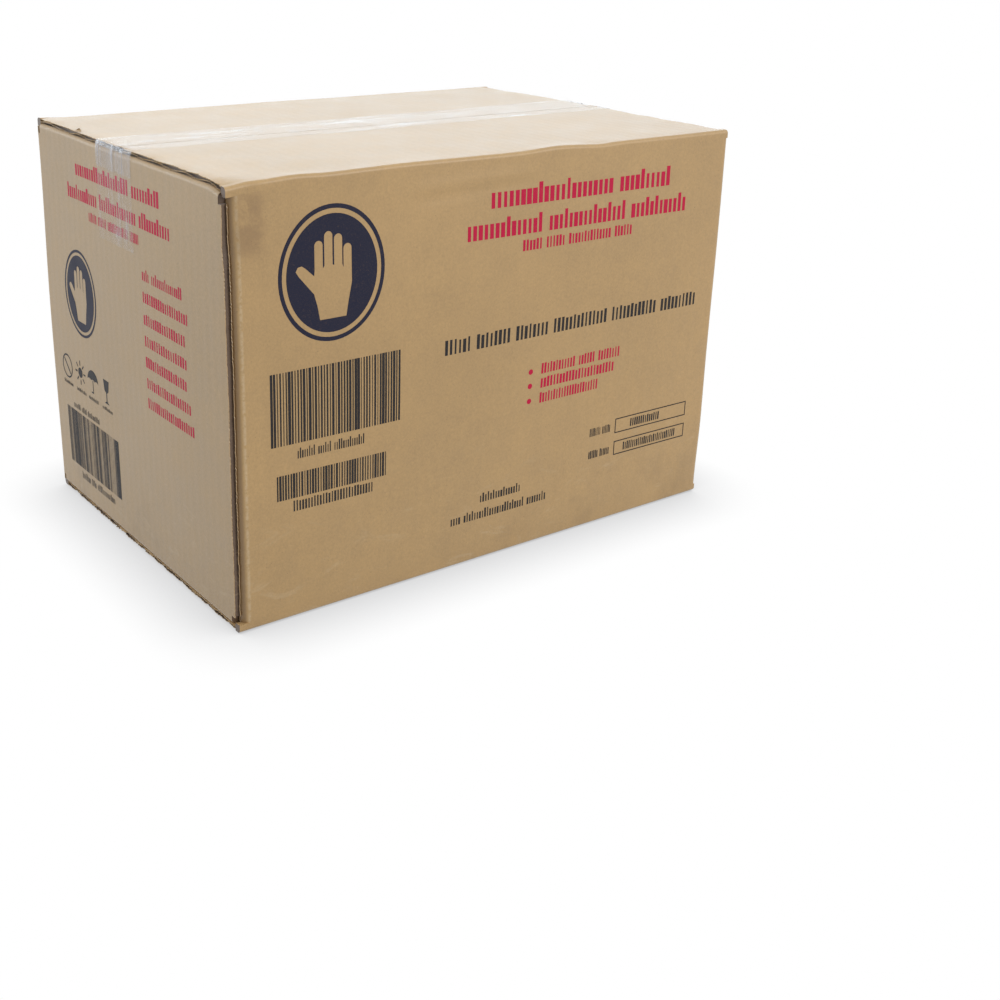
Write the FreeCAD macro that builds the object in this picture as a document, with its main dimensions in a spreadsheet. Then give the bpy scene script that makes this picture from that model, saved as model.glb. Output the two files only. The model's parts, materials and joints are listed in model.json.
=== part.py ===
"""A taped corrugated shipping case packed with ten dispenser cartons of disposable gloves.

Frame: origin at the middle of the base, +Z up, the long side along X and the broad printed panel
facing -Y.  Lengths are in millimetres.  Every wall and flap is single-wall board with its own
flute channels, so a raw edge shows the two liners and the wave of the medium between them.
"""
import FreeCAD, Part
import math
import os
import Sketcher

os.makedirs("parts", exist_ok=True)
doc = FreeCAD.newDocument("GloveCase")

# ---------------------------------------------------------------------------------------------
# Driving dimensions
# ---------------------------------------------------------------------------------------------
DIMENSIONS = [
    # the case, outside
    ("case_length", 355),
    ("case_width", 247),
    ("case_height", 246),
    # the board: overall thickness, one liner, the corrugated medium and one flute
    ("board", 4),
    ("liner", 0.3),
    ("medium", 0.22),
    ("flute_pitch", 7.8),
    ("flute_narrow", 0.75),
    ("flute_wide", 3.05),
    # a crease crushes the flutes this far from the fold
    ("crush", 6),
    # clearances the folded blank leaves
    ("seam_gap", 1),
    ("major_setback", 1.5),
    ("minor_side_gap", 2),
    ("fold_gap", 0.6),
    ("lap_gap", 0.2),
    # the maker's joint: the tab glued inside the left panel
    ("tab_reach", 33),
    ("tab_trim", 2),
    ("joint_step", 2.5),
    ("bend_out", 5),
    # tape: the strip's width, how far its middle is behind the seam, its thickness and its ends
    ("tape_width", 48),
    ("tape_shift", 8),
    ("tape_film", 0.1),
    ("tape_slit", 0.05),
    ("short_end", 15),
    ("long_end", 57),
    # the ten dispenser cartons
    ("carton_thick", 68.2),
    ("carton_long", 235),
    ("carton_tall", 112),
    ("carton_pitch", 68.5),
    ("carton_wall", 0.5),
    ("row_start", 0.4),
    # the tear-out in each carton's broad face
    ("oval_long", 118),
    ("oval_wide", 46),
    ("oval_slit", 0.3),
    ("tie_wide", 1.2),
    # the interfolded gloves inside a carton
    ("leaf", 1),
    ("leaf_pitch", 4.3),
    ("leaf_long", 226),
    ("leaf_wide", 104),
]

sizes = doc.addObject("Spreadsheet::Sheet", "sizes")
for row, (alias, value) in enumerate(DIMENSIONS, start=1):
    sizes.set("A%d" % row, alias)
    sizes.set("B%d" % row, str(value))
    sizes.setAlias("B%d" % row, alias)
doc.recompute()
SIZE = dict(DIMENSIONS)

LEAF_PAIRS = 7
OVAL_STEPS = 8


# ---------------------------------------------------------------------------------------------
# Helpers: every sketch point and every length is an expression on the sheet
# ---------------------------------------------------------------------------------------------
def origin_part(body, role):
    """One of the body's own origin planes or axes, found by its role."""
    return [o for o in body.Origin.OriginFeatures if o.Role == role][0]


def sketch(body, plane, name, loops, lift="0"):
    """A sketch of closed straight-sided loops, each point a pair of expressions, lifted off its plane."""
    drawing = body.newObject("Sketcher::SketchObject", name)
    drawing.AttachmentSupport = [(origin_part(body, plane), "")]
    drawing.MapMode = "FlatFace"
    drawing.setExpression("AttachmentOffset.Base.z", lift)
    for loop in loops:
        points = [(float(drawing.evalExpression(x)), float(drawing.evalExpression(y))) for x, y in loop]
        first = drawing.GeometryCount
        count = len(points)
        for i in range(count):
            start = FreeCAD.Vector(points[i][0], points[i][1], 0)
            end = FreeCAD.Vector(points[(i + 1) % count][0], points[(i + 1) % count][1], 0)
            drawing.addGeometry(Part.LineSegment(start, end), False)
        for i in range(count):
            drawing.addConstraint(
                Sketcher.Constraint("Coincident", first + i, 2, first + (i + 1) % count, 1)
            )
        for i, (x, y) in enumerate(loop):
            for kind, words, value in (("DistanceX", x, points[i][0]), ("DistanceY", y, points[i][1])):
                k = drawing.addConstraint(Sketcher.Constraint(kind, -1, 1, first + i, 1, value))
                drawing.setExpression("Constraints[%d]" % k, words)
    return drawing


def pad(body, name, drawing, length):
    """Adds a prism of the sketch."""
    made = body.newObject("PartDesign::Pad", name)
    made.Profile = drawing
    made.setExpression("Length", length)
    return made


def pocket(body, name, drawing, length=None, reverse=False):
    """Cuts a prism of the sketch, to a length or right through."""
    made = body.newObject("PartDesign::Pocket", name)
    made.Profile = drawing
    made.Reversed = reverse
    if length is None:
        made.Type = "ThroughAll"
    else:
        made.setExpression("Length", length)
    return made


def place(body, x="0", y="0", z="0", turn=0, flip=False):
    """Puts a body in the case: turned about the vertical, flipped over for the base, then moved."""
    rotation = FreeCAD.Rotation(FreeCAD.Vector(0, 0, 1), turn)
    if flip:
        rotation = rotation * FreeCAD.Rotation(FreeCAD.Vector(0, 1, 0), 180)
    body.Placement = FreeCAD.Placement(FreeCAD.Vector(0, 0, 0), rotation)
    body.setExpression("Placement.Base.x", x)
    body.setExpression("Placement.Base.y", y)
    body.setExpression("Placement.Base.z", z)


def flute_pair(along, start, face):
    """The two channels of one flute pitch, as points (along, through).  `face` is the outer side."""
    up = along == "x"
    inner = "%s + sizes.liner" % face
    outer = "%s + sizes.board - sizes.liner" % face

    def channel(middle, narrow_side, wide_side):
        corners = [
            ("%s - sizes.flute_narrow" % middle, narrow_side),
            ("%s + sizes.flute_narrow" % middle, narrow_side),
            ("%s + sizes.flute_wide" % middle, wide_side),
            ("%s - sizes.flute_wide" % middle, wide_side),
        ]
        return corners if up else [(b, a) for a, b in corners]

    return [
        channel(start, inner + " + sizes.medium", outer),
        channel("%s + sizes.flute_pitch / 2" % start, outer + " - sizes.medium", inner),
    ]


def flutes(body, plane, axis, pair, count, length=None, lift="0", reverse=False):
    """Cuts one pair of channels and repeats it across the board."""
    drawing = sketch(body, plane, "flute_section", pair, lift)
    cut = pocket(body, "flute_channels", drawing, length, reverse)
    row = body.newObject("PartDesign::LinearPattern", "flute_row")
    row.Originals = [cut]
    row.Direction = (origin_part(body, axis), [""])
    row.setExpression("Length", "%d * sizes.flute_pitch" % (count - 1))
    row.Occurrences = count
    body.Tip = row
    return row


def new_body(label):
    body = doc.addObject("PartDesign::Body", label)
    body.Label = label
    return body


# ---------------------------------------------------------------------------------------------
# The four walls: plan sections raised to the height between the flaps
# ---------------------------------------------------------------------------------------------
HALF_L = "sizes.case_length / 2"
HALF_W = "sizes.case_width / 2"
COS45 = "%.6f" % math.cos(math.radians(45))
COS22 = "%.6f" % math.cos(math.radians(22.5))
SIN22 = "%.6f" % math.sin(math.radians(22.5))


def corner(sx, sy, along):
    """Half a folded corner of a wall that runs along x or y: flat, two facets, then the mitre."""
    cx = "%s(%s - sizes.board)" % (sx, HALF_L)
    cy = "%s(%s - sizes.board)" % (sy, HALF_W)
    if along == "x":
        facets = [("0", "1"), (SIN22, COS22), (COS45, COS45)]
    else:
        facets = [("1", "0"), (COS22, SIN22), (COS45, COS45)]
    rounds = [
        ("%s + %s%s * sizes.board" % (cx, sx, fx), "%s + %s%s * sizes.board" % (cy, sy, fy))
        for fx, fy in facets
    ]
    return rounds + [(cx, cy)]


def wall(label, outline, pair, axis, count, base, height):
    body = new_body(label)
    pad(body, "board", sketch(body, "XY_Plane", "section", [outline]), height)
    flutes(body, "XY_Plane", axis, pair, count, reverse=True)
    place(body, z=base)
    return body


# front wall: a plain fold on the right, and on the left the bend that carries the glued tab
bend_x = "-%s + sizes.board" % HALF_L
front_outline = [
    ("%s + sizes.bend_out" % bend_x, "-%s" % HALF_W),
] + corner("+", "-", "x") + [
    ("%s + sizes.bend_out" % bend_x, "-%s + sizes.board" % HALF_W),
    ("%s + sizes.board" % bend_x, "-%s + sizes.bend_out" % HALF_W),
    ("%s + sizes.board" % bend_x, "-%s + sizes.bend_out + sizes.board" % HALF_W),
    (bend_x, "-%s + sizes.bend_out + sizes.board" % HALF_W),
    (bend_x, "-%s + sizes.bend_out" % HALF_W),
    ("%s + 0.13 * sizes.bend_out" % bend_x, "-%s + 0.5 * sizes.bend_out" % HALF_W),
    ("%s + 0.5 * sizes.bend_out" % bend_x, "-%s + 0.13 * sizes.bend_out" % HALF_W),
]
WALL_FLUTES_LONG = int((SIZE["case_length"] - 4 * SIZE["crush"]) // SIZE["flute_pitch"])
WALL_FLUTES_SHORT = int((SIZE["case_width"] - 3 * SIZE["crush"]) // SIZE["flute_pitch"])
long_start = "-sizes.flute_pitch * %.2f" % (0.5 * WALL_FLUTES_LONG - 0.25)
short_start = "-sizes.flute_pitch * %.2f" % (0.5 * WALL_FLUTES_SHORT - 0.25)
MAJOR_WALL = "sizes.case_height - 2 * sizes.board"
MINOR_WALL = "sizes.case_height - 4 * sizes.board - sizes.fold_gap"

front = wall(
    "front_panel",
    front_outline,
    flute_pair("x", long_start, "-%s" % HALF_W),
    "X_Axis",
    WALL_FLUTES_LONG,
    "sizes.board",
    MAJOR_WALL,
)
# past the bend the board is cut back at both ends, like the tab, to clear the minor flaps
notch = [
    ("%s - 1" % bend_x, "-%s + sizes.bend_out + 0.1" % HALF_W),
    ("%s + sizes.board + 1" % bend_x, "-%s + sizes.bend_out + 0.1" % HALF_W),
    ("%s + sizes.board + 1" % bend_x, "-%s + sizes.bend_out + sizes.board + 1" % HALF_W),
    ("%s - 1" % bend_x, "-%s + sizes.bend_out + sizes.board + 1" % HALF_W),
]
notch_up = "sizes.board + %s - sizes.tab_trim" % MINOR_WALL
for name, lift, length in (
    ("notch_low", "0", "sizes.board + sizes.tab_trim"),
    ("notch_high", notch_up, "%s - (%s) + 1" % (MAJOR_WALL, notch_up)),
):
    pocket(front, name, sketch(front, "XY_Plane", name + "_section", [notch], lift), length, reverse=True)
back_outline = corner("-", "+", "x") + corner("+", "+", "x")[::-1]
wall(
    "back_panel",
    back_outline,
    flute_pair("x", long_start, "%s - sizes.board" % HALF_W),
    "X_Axis",
    WALL_FLUTES_LONG,
    "sizes.board",
    MAJOR_WALL,
)

# left wall: its front edge is the cut edge of the blank, standing a little behind the front face
left_outline = corner("-", "+", "y") + [
    ("-%s + sizes.board" % HALF_L, "-%s + sizes.joint_step" % HALF_W),
    ("-%s" % HALF_L, "-%s + sizes.joint_step" % HALF_W),
]
LEFT_FLUTES = WALL_FLUTES_SHORT + 1
left_start = "-%s + sizes.joint_step - 0.8" % HALF_W
wall(
    "left_panel",
    left_outline,
    flute_pair("y", left_start, "-%s" % HALF_L),
    "Y_Axis",
    LEFT_FLUTES,
    "2 * sizes.board",
    MINOR_WALL,
)
right_outline = corner("+", "-", "y") + corner("+", "+", "y")[::-1]
wall(
    "right_panel",
    right_outline,
    flute_pair("y", short_start, "%s - sizes.board" % HALF_L),
    "Y_Axis",
    WALL_FLUTES_SHORT,
    "2 * sizes.board",
    MINOR_WALL,
)

# the tab: the front wall's board carried round the bend and glued flat inside the left wall
tab_start = "-%s + sizes.bend_out + sizes.board" % HALF_W
tab_outline = [
    (bend_x, tab_start),
    ("%s + sizes.board" % bend_x, tab_start),
    ("%s + sizes.board" % bend_x, "%s + sizes.tab_reach" % tab_start),
    (bend_x, "%s + sizes.tab_reach" % tab_start),
]
wall(
    "glue_tab",
    tab_outline,
    flute_pair("y", "%s + sizes.flute_pitch / 2 + 0.5" % tab_start, bend_x),
    "Y_Axis",
    4,
    "2 * sizes.board + sizes.tab_trim",
    MINOR_WALL + " - 2 * sizes.tab_trim",
)


# ---------------------------------------------------------------------------------------------
# The eight flaps: all as deep as half the case's width, hinged on a crushed, rounded crease
# ---------------------------------------------------------------------------------------------
def flap(label, width, depth, channels, **where):
    """A flap lying flat: the fold at y = 0, the cut edge at +y, its outer liner on top."""
    body = new_body(label)
    half = "(%s) / 2" % width
    section = [
        ("-" + half, "0"),
        (half, "0"),
        (half, "sizes.board"),
        ("-" + half, "sizes.board"),
    ]
    board = pad(body, "board", sketch(body, "XZ_Plane", "section", [section]), depth)
    board.Reversed = True
    # the fold's outer edge is rounded off in two facets
    wedge = [
        ("0", "sizes.board"),
        ("0", "0.45 * sizes.board"),
        ("0.16 * sizes.board", "0.84 * sizes.board"),
        ("0.55 * sizes.board", "sizes.board"),
    ]
    cut = pocket(body, "fold_round", sketch(body, "YZ_Plane", "fold_section", [wedge], "-" + half))
    cut.Reversed = True
    start = "-sizes.flute_pitch * %.2f" % (0.5 * channels - 0.25)
    flutes(
        body,
        "XZ_Plane",
        "X_Axis",
        flute_pair("x", start, "0"),
        channels,
        "%s - sizes.crush" % depth,
        "-(%s)" % depth,
        reverse=True,
    )
    place(body, **where)
    return body


MAJOR_LONG = "sizes.case_length - 2 * sizes.major_setback"
MAJOR_DEEP = "(sizes.case_width - sizes.seam_gap) / 2"
MINOR_LONG = "sizes.case_width - 2 * sizes.board - 2 * sizes.minor_side_gap"
MINOR_DEEP = "sizes.case_width / 2"
MAJOR_CHANNELS = int((SIZE["case_length"] - 2 * SIZE["major_setback"]) // SIZE["flute_pitch"]) + 1
MINOR_CHANNELS = int((SIZE["case_width"] - 12) // SIZE["flute_pitch"]) + 1
TOP = "sizes.case_height"

flap("top_major_flap_front", MAJOR_LONG, MAJOR_DEEP, MAJOR_CHANNELS,
     y="-" + HALF_W, z=TOP + " - sizes.board")
flap("top_major_flap_back", MAJOR_LONG, MAJOR_DEEP, MAJOR_CHANNELS,
     y=HALF_W, z=TOP + " - sizes.board", turn=180)
flap("top_minor_flap_left", MINOR_LONG, MINOR_DEEP, MINOR_CHANNELS,
     x="-" + HALF_L, z=TOP + " - 2 * sizes.board - sizes.lap_gap", turn=-90)
flap("top_minor_flap_right", MINOR_LONG, MINOR_DEEP, MINOR_CHANNELS,
     x=HALF_L, z=TOP + " - 2 * sizes.board - sizes.lap_gap", turn=90)
flap("bottom_major_flap_front", MAJOR_LONG, MAJOR_DEEP, MAJOR_CHANNELS,
     y="-" + HALF_W, z="sizes.board", flip=True)
flap("bottom_major_flap_back", MAJOR_LONG, MAJOR_DEEP, MAJOR_CHANNELS,
     y=HALF_W, z="sizes.board", turn=180, flip=True)
flap("bottom_minor_flap_left", MINOR_LONG, MINOR_DEEP, MINOR_CHANNELS,
     x="-" + HALF_L, z="2 * sizes.board", turn=-90, flip=True)
flap("bottom_minor_flap_right", MINOR_LONG, MINOR_DEEP, MINOR_CHANNELS,
     x=HALF_L, z="2 * sizes.board", turn=90, flip=True)


# ---------------------------------------------------------------------------------------------
# Clear tape over the top seam: two layers, each slit into a front and a back half on the seam
# ---------------------------------------------------------------------------------------------
def tape_strip(label, near, far, lift):
    """One half of a layer, lying on its own major flap."""
    strip = doc.addObject("Part::Box", label)
    strip.Label = label
    strip.setExpression("Length", MAJOR_LONG)
    strip.setExpression("Width", "(%s) - (%s)" % (far, near))
    strip.setExpression("Height", "sizes.tape_film")
    strip.setExpression("Placement.Base.x", "-(%s) / 2" % MAJOR_LONG)
    strip.setExpression("Placement.Base.y", near)
    strip.setExpression("Placement.Base.z", "%s + %s" % (TOP, lift))


TAPE_FRONT = "sizes.tape_shift - sizes.tape_width / 2"
TAPE_BACK = "sizes.tape_shift + sizes.tape_width / 2"
for layer, lift in (("under", "0"), ("over", "sizes.tape_film")):
    tape_strip("tape_%s_front" % layer, TAPE_FRONT, "-sizes.tape_slit", lift)
    tape_strip("tape_%s_back" % layer, "sizes.tape_slit", TAPE_BACK, lift)


def tape_end(label, side, reach, skin):
    """The end of a layer: down the end wall from the cut at the major flaps' ends."""
    body = new_body(label)
    wall_x = "%s + %s" % (HALF_L, skin)
    lip_x = "%s - sizes.major_setback + 0.1 + %s" % (HALF_L, skin)
    fold_z = "%s - 1.6 * sizes.board" % TOP
    rows = [
        (wall_x, "%s - %s" % (TOP, reach)),
        (wall_x, fold_z),
        (lip_x, TOP),
    ]
    inner = [("%s(%s)" % (side, x), z) for x, z in rows]
    outer = [("%s(%s + sizes.tape_film)" % (side, x), z) for x, z in rows]
    drawing = sketch(body, "XZ_Plane", "profile", [inner + outer[::-1]], "-(%s)" % TAPE_FRONT)
    film = pad(body, "film", drawing, "sizes.tape_width")
    film.Reversed = True


for end, side in (("left", "-"), ("right", "+")):
    tape_end("tape_under_end_%s" % end, side, "sizes.short_end", "0")
    tape_end("tape_over_end_%s" % end, side, "sizes.long_end", "sizes.tape_film")


# ---------------------------------------------------------------------------------------------
# Ten dispenser cartons, five along the case and two high, each with its tear-out and its gloves
# ---------------------------------------------------------------------------------------------
def oval(inset):
    """The tear-out's outline in (y, z) about its own middle: two straight sides and faceted ends."""
    radius = "(sizes.oval_wide / 2 - %s)" % inset
    reach = "(sizes.oval_long / 2 - sizes.oval_wide / 2)"
    points = []
    for sign, first in (("+", -90), ("-", 90)):
        for step in range(OVAL_STEPS + 1):
            angle = math.radians(first + 180.0 * step / OVAL_STEPS)
            points.append((
                "%s%s + %.6f * %s" % (sign, reach, math.cos(angle), radius),
                "%.6f * %s" % (math.sin(angle), radius),
            ))
    return points


def shifted(points, y, z):
    return [("%s + %s" % (y, a), "%s + %s" % (z, b)) for a, b in points]


def tie(middle, side):
    """A nick of board that still joins the tear-out to its carton across the slit."""
    edge = "%s(sizes.oval_wide / 2)" % side
    root = "%s(sizes.oval_wide / 2 - 2 * sizes.oval_slit)" % side
    return [
        ("%s - sizes.tie_wide / 2" % middle, root),
        ("%s + sizes.tie_wide / 2" % middle, root),
        ("%s + sizes.tie_wide / 2" % middle, edge),
        ("%s - sizes.tie_wide / 2" % middle, edge),
    ]


def carton(label, where):
    """The folded paperboard carton, hollow, with the oval cut in its broad left face."""
    body = new_body(label)
    outside = [
        ("0", "-sizes.carton_long / 2"),
        ("sizes.carton_thick", "-sizes.carton_long / 2"),
        ("sizes.carton_thick", "sizes.carton_long / 2"),
        ("0", "sizes.carton_long / 2"),
    ]
    w = "sizes.carton_wall"
    inside = [
        (w, "-sizes.carton_long / 2 + " + w),
        ("sizes.carton_thick - " + w, "-sizes.carton_long / 2 + " + w),
        ("sizes.carton_thick - " + w, "sizes.carton_long / 2 - " + w),
        (w, "sizes.carton_long / 2 - " + w),
    ]
    pad(body, "blank", sketch(body, "XY_Plane", "outside", [outside]), "sizes.carton_tall")
    hollow = sketch(body, "XY_Plane", "inside", [inside], "sizes.carton_tall - " + w)
    pocket(body, "hollow", hollow, "sizes.carton_tall - 2 * " + w)
    window = sketch(body, "YZ_Plane", "oval", [shifted(oval("0"), "0", "sizes.carton_tall / 2")])
    pocket(body, "window", window, "4 * " + w, reverse=True)
    place(body, *where)


def tear_out(label, where):
    """The oval tear-out, in the plane of the carton's left face."""
    body = new_body(label)
    middle = "sizes.carton_tall / 2"
    face = sketch(body, "YZ_Plane", "face", [shifted(oval("sizes.oval_slit"), "0", middle)])
    pad(body, "panel", face, "sizes.carton_wall")
    nicks = [
        shifted(tie("%s sizes.oval_long / 5" % sign, side), "0", middle)
        for sign in ("-", "+")
        for side in ("-", "+")
    ]
    pad(body, "ties", sketch(body, "YZ_Plane", "nicks", nicks), "sizes.carton_wall")
    place(body, *where)


def glove_stack(label, where):
    """A hundred interfolded gloves, drawn as one pleated ribbon standing on its edge."""
    body = new_body(label)
    x0 = "(sizes.carton_thick - %d * sizes.leaf_pitch) / 2" % (2 * LEAF_PAIRS)
    y0 = "-sizes.leaf_long / 2"
    y1 = "sizes.leaf_long / 2"
    pitch = "sizes.leaf_pitch"
    leaf = "sizes.leaf"
    pleat = [
        (x0, y0),
        ("%s + %s" % (x0, leaf), y0),
        ("%s + %s" % (x0, leaf), "%s - %s" % (y1, leaf)),
        ("%s + %s" % (x0, pitch), "%s - %s" % (y1, leaf)),
        ("%s + %s" % (x0, pitch), y0),
        ("%s + 2 * %s" % (x0, pitch), y0),
        ("%s + 2 * %s" % (x0, pitch), "%s + %s" % (y0, leaf)),
        ("%s + %s + %s" % (x0, pitch, leaf), "%s + %s" % (y0, leaf)),
        ("%s + %s + %s" % (x0, pitch, leaf), y1),
        (x0, y1),
    ]
    drawing = sketch(body, "XY_Plane", "pleat", [pleat], "sizes.carton_wall")
    ribbon = pad(body, "ribbon", drawing, "sizes.leaf_wide")
    row = body.newObject("PartDesign::LinearPattern", "pleats")
    row.Originals = [ribbon]
    row.Direction = (origin_part(body, "X_Axis"), [""])
    row.setExpression("Length", "%d * sizes.leaf_pitch" % (2 * (LEAF_PAIRS - 1)))
    row.Occurrences = LEAF_PAIRS
    body.Tip = row
    place(body, *where)


COLUMNS = 5
MIDDLE_COLUMN = 3
for storey, level in (("lower", "0"), ("upper", "sizes.carton_tall")):
    for column in range(1, COLUMNS + 1):
        # the end columns stand on the bottom minor flaps; the middle one drops between them
        floor = "sizes.board" if column == MIDDLE_COLUMN else "2 * sizes.board"
        where = (
            "-%s + 2 * sizes.board + sizes.row_start + %d * sizes.carton_pitch" % (HALF_L, column - 1),
            "0",
            "%s + %s" % (floor, level),
        )
        carton("dispenser_%s_%d" % (storey, column), where)
        tear_out("tear_out_%s_%d" % (storey, column), where)
        glove_stack("glove_stack_%s_%d" % (storey, column), where)

# ---------------------------------------------------------------------------------------------
# Recompute, check and write one STEP file per piece
# ---------------------------------------------------------------------------------------------
doc.recompute()
for obj in doc.Objects:
    if "Invalid" in obj.State or "Error" in obj.State:
        raise SystemExit("%s did not compute: %s" % (obj.Label, obj.State))

pieces = [o for o in doc.Objects if o.TypeId in ("PartDesign::Body", "Part::Box")]
for piece in pieces:
    shape = piece.Shape
    if shape.isNull() or not shape.isValid():
        raise SystemExit("%s has no valid solid" % piece.Label)
    shape.exportStep("parts/%s.step" % piece.Label)
    box = shape.BoundBox
    print("%-26s solids %d faces %4d  %6.1f..%6.1f %6.1f..%6.1f %6.1f..%6.1f  %9.0f mm3" % (
        piece.Label, len(shape.Solids), len(shape.Faces), box.XMin, box.XMax,
        box.YMin, box.YMax, box.ZMin, box.ZMax, shape.Volume))
print(len(pieces), "pieces")
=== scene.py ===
# %% [markdown]
# # A packed corrugated case of disposable gloves
#
# The case is one folded blank of single-wall board: four panels, four top flaps and four bottom flaps,
# closed with clear tape. Ten dispenser cartons stand inside. This script loads the fixed frame and dresses
# it. Lengths are in metres in the frame's own axes: +Z up, X along the long side, -Y out of the broad
# printed panel.

# %% Load the frame
import json
import math

import bmesh
import bpy
import numpy as np
from mathutils import Matrix, Vector

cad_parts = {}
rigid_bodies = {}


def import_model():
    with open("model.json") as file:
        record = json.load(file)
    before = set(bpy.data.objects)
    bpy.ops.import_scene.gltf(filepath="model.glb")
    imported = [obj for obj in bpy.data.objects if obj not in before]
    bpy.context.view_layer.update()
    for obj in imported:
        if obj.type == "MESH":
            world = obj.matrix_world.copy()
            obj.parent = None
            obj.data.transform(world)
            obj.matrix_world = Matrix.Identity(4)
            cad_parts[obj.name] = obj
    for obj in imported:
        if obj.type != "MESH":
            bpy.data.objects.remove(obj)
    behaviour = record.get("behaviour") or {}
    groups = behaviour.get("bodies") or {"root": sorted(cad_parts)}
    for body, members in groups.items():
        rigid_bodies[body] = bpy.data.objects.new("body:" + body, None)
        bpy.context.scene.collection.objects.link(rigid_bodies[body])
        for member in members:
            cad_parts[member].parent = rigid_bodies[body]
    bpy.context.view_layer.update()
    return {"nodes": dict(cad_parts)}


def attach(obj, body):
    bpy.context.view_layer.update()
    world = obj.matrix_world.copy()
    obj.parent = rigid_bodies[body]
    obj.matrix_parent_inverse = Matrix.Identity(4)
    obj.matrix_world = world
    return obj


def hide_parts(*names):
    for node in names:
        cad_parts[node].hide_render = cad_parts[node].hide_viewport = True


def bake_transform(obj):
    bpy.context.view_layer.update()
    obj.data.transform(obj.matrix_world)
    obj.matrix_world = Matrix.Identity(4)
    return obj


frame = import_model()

MM = 0.001
# the case outside, along X, Y and Z
L, W, H = 355 * MM, 247 * MM, 246 * MM
# the board's thickness, and the distance from one of its flutes to the next
T = 4 * MM
PITCH = 7.8 * MM
# how far the major flaps' ends stand back from the end walls' faces, and the air under them
SETBACK = 1.5 * MM
LAP = 0.2 * MM

# %% [markdown]
# ## How the board has settled
#
# A packed case is never flat: the cartons push the walls out a little, the creases wander, and handling
# leaves a crushed corner and a soft fold under the front edge. Each piece could be bent on its own, but
# then neighbours would part. Instead all of it is one smooth displacement of space, so panels, flaps, ink
# and tape that pass through the same place move together and still touch.


# %% Smooth fields
def wave_field(seed, scale, count=9):
    """A smooth random field of about unit size: a sum of plane waves with fixed seeds."""
    random = np.random.default_rng(seed)
    way = random.normal(size=(count, 3))
    way /= np.linalg.norm(way, axis=1)[:, None]
    wave = way * (2 * math.pi / scale * random.uniform(0.6, 1.6, count))[:, None]
    phase = random.uniform(0, 2 * math.pi, count)
    return lambda p: np.sin(p @ wave.T + phase).sum(1) / math.sqrt(count / 2)


def ramp(x, start, end):
    t = np.clip((x - start) / (end - start), 0, 1)
    return t * t * (3 - 2 * t)


def bump(x, middle, spread):
    return np.exp(-(((x - middle) / spread) ** 2))


SWAY = [wave_field(seed, 0.17) for seed in (3, 5, 8)]
RIPPLE = wave_field(21, 0.045)
print("sway at the middle, of about 1:", [round(float(field(np.zeros((1, 3)))[0]), 2) for field in SWAY])

# %% Where handling has marked the case
# how far the front top edge stands above its height: (place along the edge, spread, rise)
EDGE_WAVES = (
    (-136 * MM, 13 * MM, 0.9 * MM),
    (-75 * MM, 38 * MM, 0.5 * MM),
    (36 * MM, 17 * MM, 1.0 * MM),
    (71 * MM, 11 * MM, -0.7 * MM),
    (120 * MM, 30 * MM, -0.3 * MM),
)


def edge_rise(x, y, z):
    """How far the front top edge wanders up and down, and the lip at the left end with it."""
    near_edge = bump(z, H, 16 * MM) * bump(y, -W / 2, 9 * MM)
    rise = sum(height * bump(x, place, spread) for place, spread, height in EDGE_WAVES) * near_edge
    left_lip = bump(x, -L / 2, 12 * MM) * bump(z, H - T, 14 * MM)
    return rise + left_lip * (0.9 * MM * ramp(y, 20 * MM, 115 * MM) - 2.2 * MM * ramp(-y, 104 * MM, 122 * MM))


def front_push(x, y, z):
    """How far the front panel has gone in: its crushed upper corner, and a soft fold below its edge."""
    u = x + L / 2
    front = ramp(-y, W / 2 - 9 * MM, W / 2 - 3 * MM)
    # everything left of a slanted line has gone in
    slant = (z - 205 * MM) * 0.41 - (u - 4 * MM)
    crushed = ramp(slant, -1.5 * MM, 7 * MM) * ramp(z, 196 * MM, 215 * MM)
    # the fold climbs a little to the right, with a faint ridge above it
    fold_z = 226.5 * MM + 0.035 * (u - 121 * MM)
    along = ramp(u, 105 * MM, 130 * MM) * (1 - ramp(u, 178 * MM, 205 * MM))
    fold = bump(z, fold_z, 2.2 * MM) - 0.8 * bump(z, fold_z + 4.5 * MM, 3.5 * MM)
    return front * (1.5 * MM * crushed + 0.55 * MM * along * fold)


def settle(points):
    """Moves points at their ideal place to where the board has settled."""
    p = np.asarray(points, float)
    x, y, z = p.T
    side_x = np.clip(x / (L / 2), -1.05, 1.05)
    side_y = np.clip(y / (W / 2), -1.05, 1.05)
    arch = np.sin(np.clip(z / H, 0, 1) * math.pi)
    # the base stays flat on what it stands on
    grip = ramp(z, 10 * MM, 60 * MM)
    move = np.zeros_like(p)
    move[:, 0] += side_x**5 * 0.7 * MM * np.cos(y / W * 2.6) * arch
    move[:, 1] += side_y**5 * 1.1 * MM * np.cos(x / L * 2.8) * arch
    for axis, field in enumerate(SWAY):
        move[:, axis] += 0.32 * MM * field(p) * grip
    move[:, 2] -= 0.20 * MM * SWAY[2](p) * ramp(z, 0.9 * H, H)
    move[:, 2] += 0.05 * MM * RIPPLE(p) * ramp(z, 0.9 * H, H)
    move[:, 2] += edge_rise(x, y, z)
    move[:, 1] += front_push(x, y, z)
    return p + move


middle = np.array([[0, -W / 2, H / 2]])
print("the front wall's middle bulges, mm:", round(float((middle - settle(middle))[0, 1] / MM), 2))

# %% [markdown]
# ## Building board
#
# Board is a section carried along a line. A box with its edges bevelled would be quicker, but it has no cut
# edge, and the cut edge is what tells board from a block. So a section's cut ends are recessed between the
# two liners, and the liners are frayed there by a one-dimensional noise, torn rather than ruled.


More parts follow.
